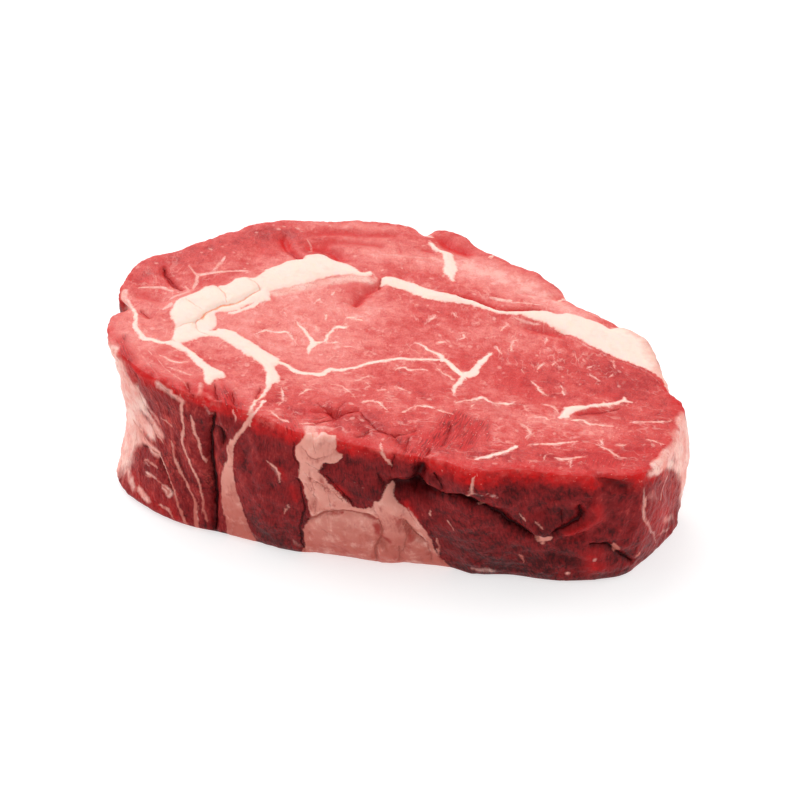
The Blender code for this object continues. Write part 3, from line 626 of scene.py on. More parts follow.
# Films of connective tissue: 1 hides the lean.
CUT_FILM = [
    ([(-63.4, 30.4), (-61.4, 27), (-60, 25.8), (-56.6, 26.6), (-53, 27.8), (-48.6, 28.6),
      (-44.6, 28.8)], 1.1, .8),
    ([(-60.2, 25.8), (-60, 21), (-60.6, 16.5)], .9, .85), ([(-55.6, 28), (-54.2, 32), (-52.4, 37)], .9, .75),
    ([(-77, 15.6), (-73.6, 17), (-70, 16.8), (-66.6, 14.6)], 1.1, .85),
    ([(-63.4, 18), (-62, 15.4), (-64.6, 12.2), (-67.4, 9.6)], 1.1, .7),
    ([(-81, 14), (-80.6, 9), (-79.6, 6)], 1.6, .85), ([(-68.6, 3.6), (-67, 6), (-66.4, 8)], 1.1, .7),
    ([(-3.4, 45.4), (4, 45.2), (14, 45)], 1.1, .6), ([(12.8, 54), (11.2, 56.4)], 1.2, .6),
    ([(29.6, 24.2), (33, 23.2), (36, 23.4)], 1.3, .95), ([(36, 22.4), (40, 22.2), (44.6, 22)], .8, .75),
    ([(-35, 18), (-28, 22), (-21, 26), (-14, 28), (-8, 28.6)], 3.4, .8),
    ([(-28, 15), (-20, 20)], 5, .28), ([(36, 13.6), (40, 11.8), (44.4, 11)], 1.2, .65),
    ([(46, 10.6), (52, 5.4), (58, 0.2), (64, -4), (70, -7.8), (75, -11.6), (78, -16)], 1.0, .5),
    ([(-7, 33.6), (-6, 31), (-5.4, 28.6)], 1.0, .6), ([(40.6, 34), (41.8, 37)], .7, .7),
    ([(-45, 60), (-30, 61), (-16, 61.4)], 2.4, .35), ([(-47, 54), (-41, 48)], 2, .3),
    ([(-31, 58), (-29.4, 56)], 1.6, .5), ([(-27.6, 52), (-26.4, 48), (-27, 44)], .9, .6),
    ([(-62, 53), (-68, 45), (-76, 37)], 1.8, .3), ([(19, 39), (26, 37), (30, 33)], 1.6, .45),
    ([(31, 36), (34, 33.6), (40, 34)], 1.2, .5), ([(22, 43), (34, 41)], 2.5, .3),
    ([(37.6, 38), (38.4, 41)], .9, .45), ([(27, 50), (33, 46.6), (38, 42.4)], 1.2, .4),
    ([(57, 21), (62, 18.4), (66.6, 13.6)], 1.1, .5), ([(-8, 46.6)], 1.4, .5), ([(-1.6, 44)], 1.1, .4),
    ([(5.6, 37), (12, 36)], 3, .25), ([(-75, -14.6), (-72, -21), (-69, -27), (-66, -32.4)], .9, .5),
    ([(-71, -18), (-65.6, -25.6), (-60.4, -31.4), (-57.6, -36)], .55, .6),
    ([(-67, -33), (-64.6, -36), (-61, -39.6)], 1.6, .6), ([(-54.6, -33), (-54.2, -37.6)], 1.5, .6),
    ([(-80, -10), (-76, -8.6)], 1.2, .5), ([(-78, -14), (-75, -13)], 1.0, .4),
    ([(-23, -51), (-22, -54), (-20, -57)], 2.2, .9), ([(-45.4, -43), (-46, -47)], .9, .6),
    ([(34.4, -59), (35, -61), (37, -62)], .6, .5), ([(-53, -18), (-49, -16.4)], .8, .3),
    ([(7, -56), (10, -59.6)], 1.1, .45), ([(24, -41), (38, -38)], 4, .22),
    ([(-58.4, .4), (-56.6, -1.6)], .8, -.0),
]
WALL_FILM = [
    ([(181, 37.8), (190, 36.4), (200, 33), (209, 29)], 2.6, .8),
    ([(81, 49.4), (86, 49.4)], 2.2, .6), ([(70, 34), (72, 30)], 1.5, .35), ([(84, 26), (90, 20)], 3, .3),
    ([(-12, 30), (2, 38), (9, 44)], 8, 1.0), ([(-10, 14), (4, 22), (13, 29)], 8, 1.0),
    ([(4, 34), (12, 36), (19, 36.6)], 5, 1.0), ([(11, 50), (14, 43), (18, 39)], 3, .85),
    ([(17, 28), (24.6, 27)], 3.4, .8), ([(18, 34), (26, 31), (30, 29)], 2.2, .6),
    ([(10, 12), (13, 18), (17, 22)], 3.6, .95), ([(16, 21.4), (22, 22), (28, 21)], 1.7, .75),
    ([(22.4, 12.2), (26, 13.2), (28.4, 12.6)], .8, .6), ([(21, 15), (24.6, 15.6)], .7, .5),
    ([(31.8, 11.4), (33, 10)], 1.5, .8), ([(21.4, 6), (25, 4.2)], 1.5, .7), ([(12, 9), (18, 5)], 2.2, .5),
    ([(30, 5), (34, 4.6)], .9, .55),
    ([(-8, 6), (2, 8), (8, 14)], 8, .95), ([(32, 47.6), (37, 47.6)], 1.5, .5), ([(29, 33), (24, 37)], 1.6, .45),
    ([(51.6, 44.6), (52.4, 41)], 1.4, .3), ([(50, 42), (46.6, 46)], 1.2, .35),
    ([(58, 9), (62, 3)], 2.0, .3), ([(64, 12), (70, 12.6)], .6, .25),
    ([(74, 6), (77, 2)], 1.6, .3), ([(93, 33.6), (97, 31)], .8, .3),
    ([(112, 8), (114, 3)], 3, .6), ([(126, 37), (130, 35)], .9, .4), ([(131, 36), (134, 34)], .8, .4),
    ([(127, 4), (135, 3.4)], 1.6, .4), ([(161, 33), (158, 33.4)], .8, .3), ([(155, 4.4)], .9, .7),
    ([(162.4, 10.4)], 1.0, .6), ([(175, 34), (175, 26), (178, 19), (183, 12), (187, 6)], 1.0, .45), ([(177, 30), (181, 26)], 4, .3),
    ([(178, 36.8), (188, 34), (197, 26)], 2.0, .6), ([(183, 25), (188, 30), (195, 35)], .8, .5),
    ([(186, 10), (196, 5)], 1.4, .4), ([(188, 35), (197, 31)], 3.6, .5), ([(199, 33), (204, 25), (208, 14)], 6.4, 1.0),
    ([(206, 34), (211, 22), (213, 6)], 6, 1.0), ([(190, 13), (198, 8)], 2.4, .42),
    ([(226, 16), (232, 6)], 2.4, .45), ([(258, 22), (252, 8)], 3, .45), ([(240, 4), (247, 2)], 3, .5),     ([(279, 43), (281, 34), (280, 26)], 1.6, .7), ([(281, 12), (279, 2)], 1.8, .6),
    ([(312, 40), (310, 30)], 1.0, .5),
    ([(339.6, 45), (342, 34), (341.6, 28)], 1.6, .75), ([(343, 16), (341, 0)], 2, .6),
    ([(-79, 48), (-82, 34)], 1.4, .6), ([(-82, 14), (-80, 0)], 2.2, .6),
    ([(-47, 47), (-45, 36)], 1.2, .5), ([(-46, 18), (-48, 8)], 1.6, .5),
    ([(-15, 50), (-13, 34), (-14, 26)], 2.2, .8), ([(-16, 12), (-18, 0)], 2.6, .7), ([(-28, 8), (-22, 5)], 2.4, .4),
]
# Where the cut lean is paler, or deeper below 0, than round it: the lean's own tone, and painted shade along the front
# edge, where the face turns away from the light.
CUT_TONE_AND_EDGE_SHADE = [
    ([(-78, 22), (-66, 36), (-48, 50), (-34, 54)], 11, -.5), ([(-56, 22), (-46, 30)], 5, -.25),
    ([(-58, -18), (-46, -26)], 8, -.2), ([(-30, -36), (-8, -44), (4, -46)], 7, -.3),
    ([(28, -38), (42, -38), (60, -42)], 6, .22),
    ([(-34, -40), (-8, -50), (20, -56), (50, -56), (72, -49)], 5, -.3), ([(62, -10), (70, -20)], 9, -.2),
    ([(24, 42), (40, 32), (56, 18)], 8, .75), ([(-30, 8), (-20, -12)], 12, .14), ([(30, 8), (44, 0)], 10, .12),
    ([(-46, 0), (-30, 16), (-12, 8)], 9, .15), ([(6, 6), (18, 12)], 6, -.15), ([(-4, 14), (-10, 8)], 3, .3),
    ([(-8, 46), (14, 43)], 5, .34), ([(-30, 62), (-8, 62)], 3, .2), ([(-24, 42), (-16, 40)], 4, -.25),
    ([(2, 34), (16, 34)], 4, -.2), ([(30, -12), (44, -22)], 8, -.1), ([(10, -30), (-4, -22)], 6, -.15),
]
# Painted shade: creases, cavities and folds of the relief, and a few broader patches, on the cut face here and on the
# wall in the next list, painted dark red to near black.
CUT_PAINTED_SHADE = [
    ([(-70.8, 28), (-68.4, 22.6), (-64.2, 16.2)], .9, .85), ([(-34, 46), (-31, 41)], .7, .6),
    ([(-19.6, 49), (-17, 43.6)], 1.3, .45), ([(-24.6, 47.4), (-20, 46.6)], 1.2, .5),
    ([(-16, -42.6), (-16, -44.4)], .9, .75), ([(-22.4, -42.4), (-18, -41.8), (-13.4, -41.6)], .5, .6),
    ([(-10, -40), (-8.2, -42.8), (-6.2, -46), (-4, -48.8), (-1, -50), (3, -49.6)], .35, .6),
    ([(-11.6, 16), (-9, 21)], .9, .45), ([(41, 9.4), (46, 7.6)], 1.0, .45),
    ([(-66.4, -34), (-63.4, -38.6)], 1.0, .7), ([(-58.4, -33), (-56.6, -38)], .9, .5),
    ([(-50.2, -34), (-49.4, -40)], 1.1, .7), ([(-45.4, -37), (-44, -42)], 1.1, .6),
    ([(16, -44.6), (15, -49), (13.8, -53.4)], .6, .8),
    ([(19.6, -43), (18, -49)], .6, .6), ([(22, -46), (21, -52)], 1.0, .4), ([(1, -51), (2.4, -57)], .8, .7), ([(22, -33), (28, -34), (30, -38)], 2.4, .22),
    ([(60, -14), (72, -18)], 6, .25), ([(54, -36), (64, -33)], 2.6, .4), ([(47, -34), (49.6, -33)], .5, .5),
    ([(-10.4, -53.4), (-8.2, -51.6), (-7, -49.6)], .5, .4), ([(33, -33), (37, -32)], 1.2, .3),
    ([(-76, -20), (-76.4, -30)], 1.6, .45),
]
WALL_PAINTED_SHADE = [
    ([(49.4, 41.6), (48.7, 38), (47.8, 30), (48.4, 18), (48.2, 0)], .7, .85),
    ([(50.4, 39.4), (52.4, 37.8), (52.8, 34.6)], 1.0, .8), ([(79.6, 22), (78, 12), (77.6, 3)], .7, .5),
    ([(62, 37), (60.6, 33.6)], .9, .5), ([(104.6, 31.6), (108, 31.8), (113.6, 31.2)], 2.0, 1.0),
    ([(109.4, 34), (112.4, 39.6)], 1.8, .9), ([(117.6, 38.6), (118.4, 34.6)], .9, .8),
    ([(113, 31), (119, 31.6), (124, 32.2), (128.6, 31), (134, 27.4), (138, 23.6), (142, 20.6),
      (146, 19)], .8, .8),
    ([(107, 20.6), (110, 15), (112.4, 12.6)], .8, .5), ([(101.4, 11.6)], 1.3, .4),
    ([(101, 33), (100, 37)], .8, .7), ([(106, 8), (106, 5)], .6, .5),
    ([(148, 22), (152, 24), (153, 28)], 2.6, .4), ([(157, 29.4), (157.4, 26), (154.2, 23), (150, 20.4)], .8, .75),
    ([(145.6, 18), (150, 20.4)], 1.2, .6),
    ([(162, 40), (164.8, 37.4), (170, 34.8)], 1.5, .75), ([(165, 33), (166, 26)], 1.6, .3),
    ([(161, 15.6), (166.2, 14.4), (170.4, 10), (174.6, 6.6)], 1.0, .7), ([(151, 12), (158, 9)], 2.6, .5),
    ([(136, 38.4), (140, 34)], 2.0, .2), ([(120, 14), (140, 6)], 6, .3), ([(163, 3), (168, 2)], 2, .4),
    ([(92, 28), (98, 30)], 2.4, .25), ([(100, 27), (93, 33)], 1.0, .3), ([(70, 5), (64, 8)], 3, .3),
    ([(279, 40), (282, 22), (279, 0)], .9, .8), ([(312, 38), (310, 24), (314, 10)], .8, .6),
    ([(340, 44), (343, 24), (341, 0)], 1.0, .8), ([(-79, 46), (-83, 24), (-80, 0)], .9, .7),
    ([(-47, 46), (-44, 30), (-47, 14)], .8, .6), ([(-15, 48), (-13, 26), (-17, 0)], .9, .8),
    ([(36.6, 30), (36.8, 22), (40.4, 12)], 1.0, .3), ([(23, 40), (30, 44)], 4, .15),
]
# Painted glow: where light would pass through thin lean, the cut face here and the wall in the next list are painted
# bright red.
CUT_PAINTED_GLOW = [
    ([(-79, -18), (-74, -27), (-67, -32), (-59, -35), (-51, -36.6), (-43, -40.6)], 3.2, 1.0),
    ([(-46.6, 9.6), (-53, 6.4), (-57, 1)], .9, .7), ([(-72, -19), (-66, -25), (-58, -31)], 1.6, .6),
    ([(-33, 46), (-31, 42), (-29.2, 39.2)], 1.0, 1.0), ([(-23, 57), (-14, 57.8), (-3, 58)], 1.7, .8),
    ([(-20.6, 51.6), (-12, 52), (-4, 51)], 1.8, .7), ([(16, 57.6), (18.6, 54.4), (23, 51.6)], 3, .9),
    ([(9, 51), (11.4, 50.4)], 1.3, .6), ([(-9, 24), (-7, 26.4)], 1.6, .7), ([(-13, 24), (-11, 18)], 3, .5),
    ([(13, 24.8), (18, 24.2), (26, 21.6), (30, 19.2), (32.4, 18), (38, 18.6), (45, 19.4)], .9, 1.0),
    ([(-75, 12.6), (-71, 10.4)], 2, .7), ([(-75, 3.4), (-72.4, 0)], .8, .9), ([(-59, 21), (-52, 23.6)], 2.6, .55),
    ([(-72, 33), (-70.6, 29)], 1.6, .6), ([(-58.6, 16), (-60.6, 14.4)], .8, .6),
    ([(-52, 7.6), (-53.4, 5.2)], .8, 1.0), ([(-56.4, 2), (-56.8, -1)], .5, .8), ([(-65, -1.6)], .6, .7),
    ([(-52.4, -5.2)], .7, 1.0), ([(-34, -22), (-30, -24.4)], 1.2, .6), ([(41, 9.4), (50, 6.4)], 1.6, .6),
    ([(-6, -8.6), (-4, -7.6)], 1.0, .6), ([(16.4, -11), (21, -13.4)], 1.4, .7), ([(22, 0), (22.6, -2)], 1, .5),
    ([(34, -19), (38, -26)], 5, .45), ([(52, -34.4), (57, -33), (60, -32)], 1.3, .9),
    ([(62, -24), (65, -25)], 2, .5), ([(-79, -18), (-77.6, -24)], 1.6, .9), ([(-70, -20), (-66, -17)], 2, .5),
    ([(-69, -28), (-64, -33), (-60, -38)], 2.2, .8), ([(-56, -32), (-50, -37), (-43, -42)], 2.6, .8),
    ([(-63, -20.6), (-61, -21.4)], .8, .8), ([(-37.6, -37), (-38.4, -39.4)], .8, .9),
    ([(-24, -42.6), (-16, -42), (-12, -41)], 1.5, .7), ([(15, -44), (13.4, -48.6), (11.6, -53.4)], 1.3, 1.0), ([(5.6, -48), (5.4, -54)], .7, .7),
    ([(56, -54), (64, -52), (72, -51)], 3, .5), ([(50, -56), (60, -58)], 3, .5),
    ([(28, -6), (30, -10)], 1.6, .35), ([(-48, -33), (-47, -36)], 1.2, .7),
]
WALL_PAINTED_GLOW = [
    ([(16, 8), (22, 5), (30, 4)], 3.5, .35), ([(16, 48), (19, 44)], 2.4, .5), ([(34, 6), (37, 2)], 2, .4),
    ([(155, 21), (159.6, 23.6), (162.6, 27), (161.6, 30)], 1.9, .45), ([(161, 11), (163, 7)], 2.6, .7),
    ([(85.6, 19.4), (90, 20.6)], .9, .8), ([(95.6, 21), (100.4, 20.4)], 1.1, .8), ([(99.6, 18), (100.6, 14), (103, 12)], 1.5, .8),
    ([(106, 20), (109, 14), (109, 9)], 2.4, .5), ([(104.6, 7), (106, 3)], 1.2, .5), ([(83, 27), (85, 23)], 1.0, .3),
    ([(108.4, 26.6), (109.6, 24.4)], .9, .9), ([(87.6, 31), (92.4, 26.8)], 1.0, .6), ([(75.6, 28), (76.6, 23)], 1.0, .6),
    ([(71.6, 34), (74, 30)], 1.2, .5), 
    ([(109, 25.4), (111, 22)], .7, .8), 
    ([(183, 20), (190, 14)], 5, .4), ([(-8, 42), (-9, 34)], 3, .5), ([(223, 28), (232, 24)], 4, .4),
]


# Lean torn along its fibres instead of cut, on the cut face and over its front edge.
CUT_TORN = [
    ([(18, -41), (15.6, -46), (13, -52)], 4.2, 1.0), ([(23.6, -43), (21.6, -48), (20, -53)], 2.8, .9),
    ([(10, -50), (8, -56), (6, -61)], 3.0, .7), ([(26.6, -40), (26, -50)], 1.6, .5),
    ([(2, -53), (5, -60)], 3.0, .6), ([(-15, -45), (-14, -52)], 3, .3),
    ([(-62, -35), (-58, -42)], 5.0, .5), ([(-48, -36), (-44, -44)], 4.0, .7),
    ([(-70, -26), (-66, -34)], 3.0, .35), ([(-30, -46), (-28, -52)], 4.0, .5),
    ([(50, -58), (66, -56)], 3.5, .4), ([(-79, -12), (-76, -24)], 3.0, .5),
]
# How bright the lean of the wall is, from 0 to 1, along the outer edge: partly its own tone, partly painted shade,
# darkest on the front right that faces away from the lights.
WALL_TONE_AND_SHADE = [
    (-113, .46), (-80, .38), (-50, .46), (-15, .5), (0, .6), (15, .6), (30, .58), (42, .52),
    (47, .42), (52, .45), (57, .4), (66, .31), (76, .3), (84, .3), (96, .2), (106, .24),
    (113, .3), (125, .24), (140, .18), (152, .22), (162, .3), (172, .32), (185, .5), (200, .6),
    (225, .5), (262, .45), (300, .4), (340, .5), (383, .5),
]
# How far the wall's strands slope, as shift per height, and how plainly they show.
STRANDS = [
    (-113, 0, .7), (-50, .1, .8), (0, .1, .8), (15, .15, .7), (25, .3, .8), (42, .3, 1), (48, .1, 1),
    (56, .1, .5), (66, -.1, .35), (77, 0, .4), (100, .2, .3), (115, .3, .2), (150, .2, .25),
    (175, -.2, .5), (190, -.3, .9), (215, 0, .9), (270, 0, .7), (383, 0, .7),
]


def marks(cut_list, wall_list, hard=False):
    """The cut face's marks and the wall's in one field: their sum, or the strongest of them."""
    total = np.zeros(len(base))
    for strokes, u, v, here in ((cut_list, cut_u, cut_v, on_cut), (wall_list, side_s, side_h, on_wall)):
        fade = cut_share if strokes is cut_list else 1.0 - cut_share * 0.6
        for path, half_width, amount in strokes:
            path = path if len(path) > 1 else [path[0], (path[0][0] + 0.01, path[0][1])]
            trace = stroke(u, v, path, half_width) * here * amount
            total = np.maximum(total, trace) if hard else total + trace * fade
    return total


def grooves(strokes):
    """The narrow hollows among relief marks, as lines that taper to their ends."""
    found = []
    for path, half_width, amount in strokes:
        if amount < 0 and half_width < 1.4 and len(path) > 1:
            width = 0.3 * half_width * min(1.0, -amount)
            ends = [0.4] + [1.0] * (len(path) - 2) + [0.4]
            found.append([(*point, width * end) for point, end in zip(path, ends)])
    return found


film = marks(CUT_FILM, WALL_FILM, hard=True)
tone_and_edge_shade = marks(CUT_TONE_AND_EDGE_SHADE, [])
painted_shade = marks(CUT_PAINTED_SHADE, WALL_PAINTED_SHADE, hard=True)
painted_glow = marks(CUT_PAINTED_GLOW, WALL_PAINTED_GLOW, hard=True)
torn = marks(CUT_TORN, [], hard=True) * np.clip(1.6 - over / 4.0, 0.0, 1.0)
relief = marks(CUT_RELIEF, WALL_RELIEF)
# The narrow creases also carry painted shade in the materials, besides their bump.
_, crease_offset, crease_half = lines(((grooves(CUT_RELIEF), cut_u, cut_v, on_cut),
                                       (grooves(WALL_RELIEF), side_s, side_h, on_wall)))
wall_share = 1.0 - cut_share
wall_level_and_shade = np.interp(run_s, *zip(*WALL_TONE_AND_SHADE))
slope, strandy = (np.interp(run_s, [p[0] for p in STRANDS], [p[k] for p in STRANDS]) for k in (1, 2))
lie = np.column_stack([base[:, 0] + slope * base[:, 2], base[:, 1], 0.28 * base[:, 2]])

# Unevenness of the flesh itself.
swell = uneven(base, 9.0, 1)
bundles = uneven(base, 3.0, 2)
grain = uneven(base, 1.1, 3, 2)
strands = uneven(lie, 1.7, 4)
fat_here = np.clip(np.maximum(fat_depth, vein_best) / 0.8 + 0.4, 0.0, 1.0)
fat_swell = 0.5 * (1.0 - np.exp(-np.maximum(fat_depth, 0.0) / 0.9)) + (
    0.1 * np.clip(vein_best / 0.5, 0.0, 1.0) * np.exp(-np.maximum(fat_depth, 0.0)))
lean_relief = 0.2 * swell + 0.1 * bundles + 0.05 * grain
fat_relief = (0.2 + 0.2 * wall_share) * swell + (0.04 + 0.2 * wall_share) * bundles
front = np.clip(-(base[:, 1] + 5.0) / 25.0, 0.0, 1.0)
rim_band = np.exp(-((over - 0.5 * arc) / 2.4) ** 2) * (0.25 + 0.75 * front)
rim_band *= 1.0 + 0.9 * np.exp(-((run_s - 33.0) / 15.0) ** 2)
out = relief + fat_swell + np.where(fat_here > 0.5, fat_relief, lean_relief)
out += wall_share * (1.0 - fat_here) * (
    0.3 * swell + 0.3 * strands * strandy + 0.34 * bundles * (1.0 - strandy) + 0.1 * grain)
out += rim_band * (0.34 * bundles + 0.16 * grain + 0.25 * uneven(base, 5.0, 5))
# Torn fibres: fine ridges across the pull, in a shallow hollow.
pull = np.where(cut_u > -20.0, base[:, 0] * 0.94 - base[:, 1] * 0.35, base[:, 0] * 0.95 + base[:, 1] * 0.3)
ribs = uneven(np.column_stack([pull, 0.12 * base[:, 1], 0.1 * base[:, 2]]), 1.5, 6, 2)
out += torn * (0.35 * ribs - 0.25)
out -= 0.45 * (1.0 - front) * np.exp(-((over - 0.5 * arc) / 3.0) ** 2)
out *= np.clip((run_h - 0.3) / 2.6, 0.0, 1.0)
out[is_sole] = 0.0
points = base + way * out[:, None]
points[:, 2] = np.maximum(points[:, 2], 0.0)
low, high = points.min(axis=0), points.max(axis=0)
cad_low, cad_high = (np.array(corner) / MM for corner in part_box("steak"))
points[:, :2] += (0.5 * (cad_low + cad_high) - 0.5 * (low + high))[:2]

# Faces: the strips between the rows, then the two cut faces.
ring = np.arange(SEGMENTS)
beside = (ring + 1) % SEGMENTS
strips = np.concatenate([
    np.column_stack([k * SEGMENTS + ring, k * SEGMENTS + beside,
                     (k + 1) * SEGMENTS + beside, (k + 1) * SEGMENTS + ring])
    for k in range(row_count - 1)])
first_inner = row_count * SEGMENTS
first_sole = first_inner + len(cut_inner)


def renumber(faces, ring_row, first):
    """A skin's own numbers turned into the slice's."""
    return np.where(faces < SEGMENTS, faces + ring_row * SEGMENTS, faces - SEGMENTS + first)


cut_skin = renumber(cut_faces, row_count - 1, first_inner)
sole_skin = renumber(sole_faces, 0, first_sole)[:, ::-1]
mesh = bpy.data.meshes.new("ribeye")
mesh.from_pydata((points * MM).tolist(), [],
                 strips.tolist() + cut_skin.tolist() + sole_skin.tolist())
mesh.validate()
mesh.shade_smooth()

fields = {
    "fat_depth": fat_depth, "vein_offset": vein_offset, "vein_half": vein_half,
    "crease_offset": crease_offset, "crease_half": crease_half, "film": film, "painted_shade": painted_shade,
    "painted_glow": painted_glow, "torn": torn, "tone_and_edge_shade": tone_and_edge_shade, "wall_level_and_shade": wall_level_and_shade, "strandy": strandy, "cut": cut_share,
    "over": np.clip(np.where(is_sole, -6.0, over), -20.0, 20.0), "hollow": np.clip(-relief, 0.0, 5.0),
}
for name, values in fields.items():
    layer = mesh.attributes.new(name, "FLOAT", "POINT")
    layer.data.foreach_set("value", values.astype(np.float32))
for name, places in (("lie", lie), ("pull", np.column_stack([pull, 0.12 * base[:, 1], 0.1 * base[:, 2]]))):
    layer = mesh.attributes.new(name, "FLOAT_VECTOR", "POINT")
    layer.data.foreach_set("vector", places.astype(np.float32).ravel())

# The skin laid flat for baking: the cut face, the sole at half size, and the wall in two strips.
SHEET = 262.0             # side of the flat layout in millimetres
GAP = 4.0
uv_of_point = np.zeros((len(points), 2))
low = base[:, :2].min(axis=0)
uv_of_point[:] = (base[:, :2] - low) + GAP
uv_of_point[first_sole:] = (base[first_sole:, :2] - low) * 0.45 + (180.0, GAP)
uv_of_point[:SEGMENTS] = (base[:SEGMENTS, :2] - low) * 0.45 + (180.0, GAP)
row_number = np.repeat(np.arange(row_count), SEGMENTS)
corner_point = np.zeros(len(mesh.loops), np.int32)
mesh.loops.foreach_get("vertex_index", corner_point)
uv = uv_of_point[corner_point]
wall_corners = len(strips) * 4
corner_row, corner_column = corner_point[:wall_corners] // SEGMENTS, corner_point[:wall_corners] % SEGMENTS
face_column = np.repeat(strips[:, 0] % SEGMENTS, 4)
column = np.where((face_column == SEGMENTS - 1) & (corner_column == 0), SEGMENTS, corner_column)
half = SEGMENTS // 2
strip_of = (face_column >= half).astype(float)
climb = np.concatenate([[0], np.cumsum([np.hypot(*(rows[k + 1][0] - rows[k][0]).T).mean()
                                        + np.abs(rows[k + 1][1] - rows[k][1]).mean()
                                        for k in range(row_count - 1)])])
uv[:wall_corners, 0] = GAP + (column - strip_of * half) * girth / SEGMENTS
uv[:wall_corners, 1] = 144.0 + strip_of * (climb[-1] + GAP) + climb[corner_row]
layout = mesh.uv_layers.new(name="OFBake")
layout.data.foreach_set("uv", (uv / SHEET).astype(np.float32).ravel())

ribeye = bpy.data.objects.new("ribeye", mesh)
bpy.context.scene.collection.objects.link(ribeye)


def paint(code):
    """An sRGB hex colour as linear red, green, blue and alpha."""
    parts = [int(code[k:k + 2], 16) / 255.0 for k in (1, 3, 5)]
    return (*(c / 12.92 if c <= 0.04045 else ((c + 0.055) / 1.055) ** 2.4 for c in parts), 1.0)


def put(tree, kind, inputs=None, **settings):
    """Adds a node with its settings; inputs are values, or the sockets that feed them."""
    node = tree.nodes.new(kind)
    for name, value in settings.items():
        setattr(node, name, value)
    for key, value in (inputs or {}).items():
        socket = node.inputs[key]
        if isinstance(value, bpy.types.NodeSocket):
            tree.links.new(value, socket)
        else:
            socket.default_value = value
    return node


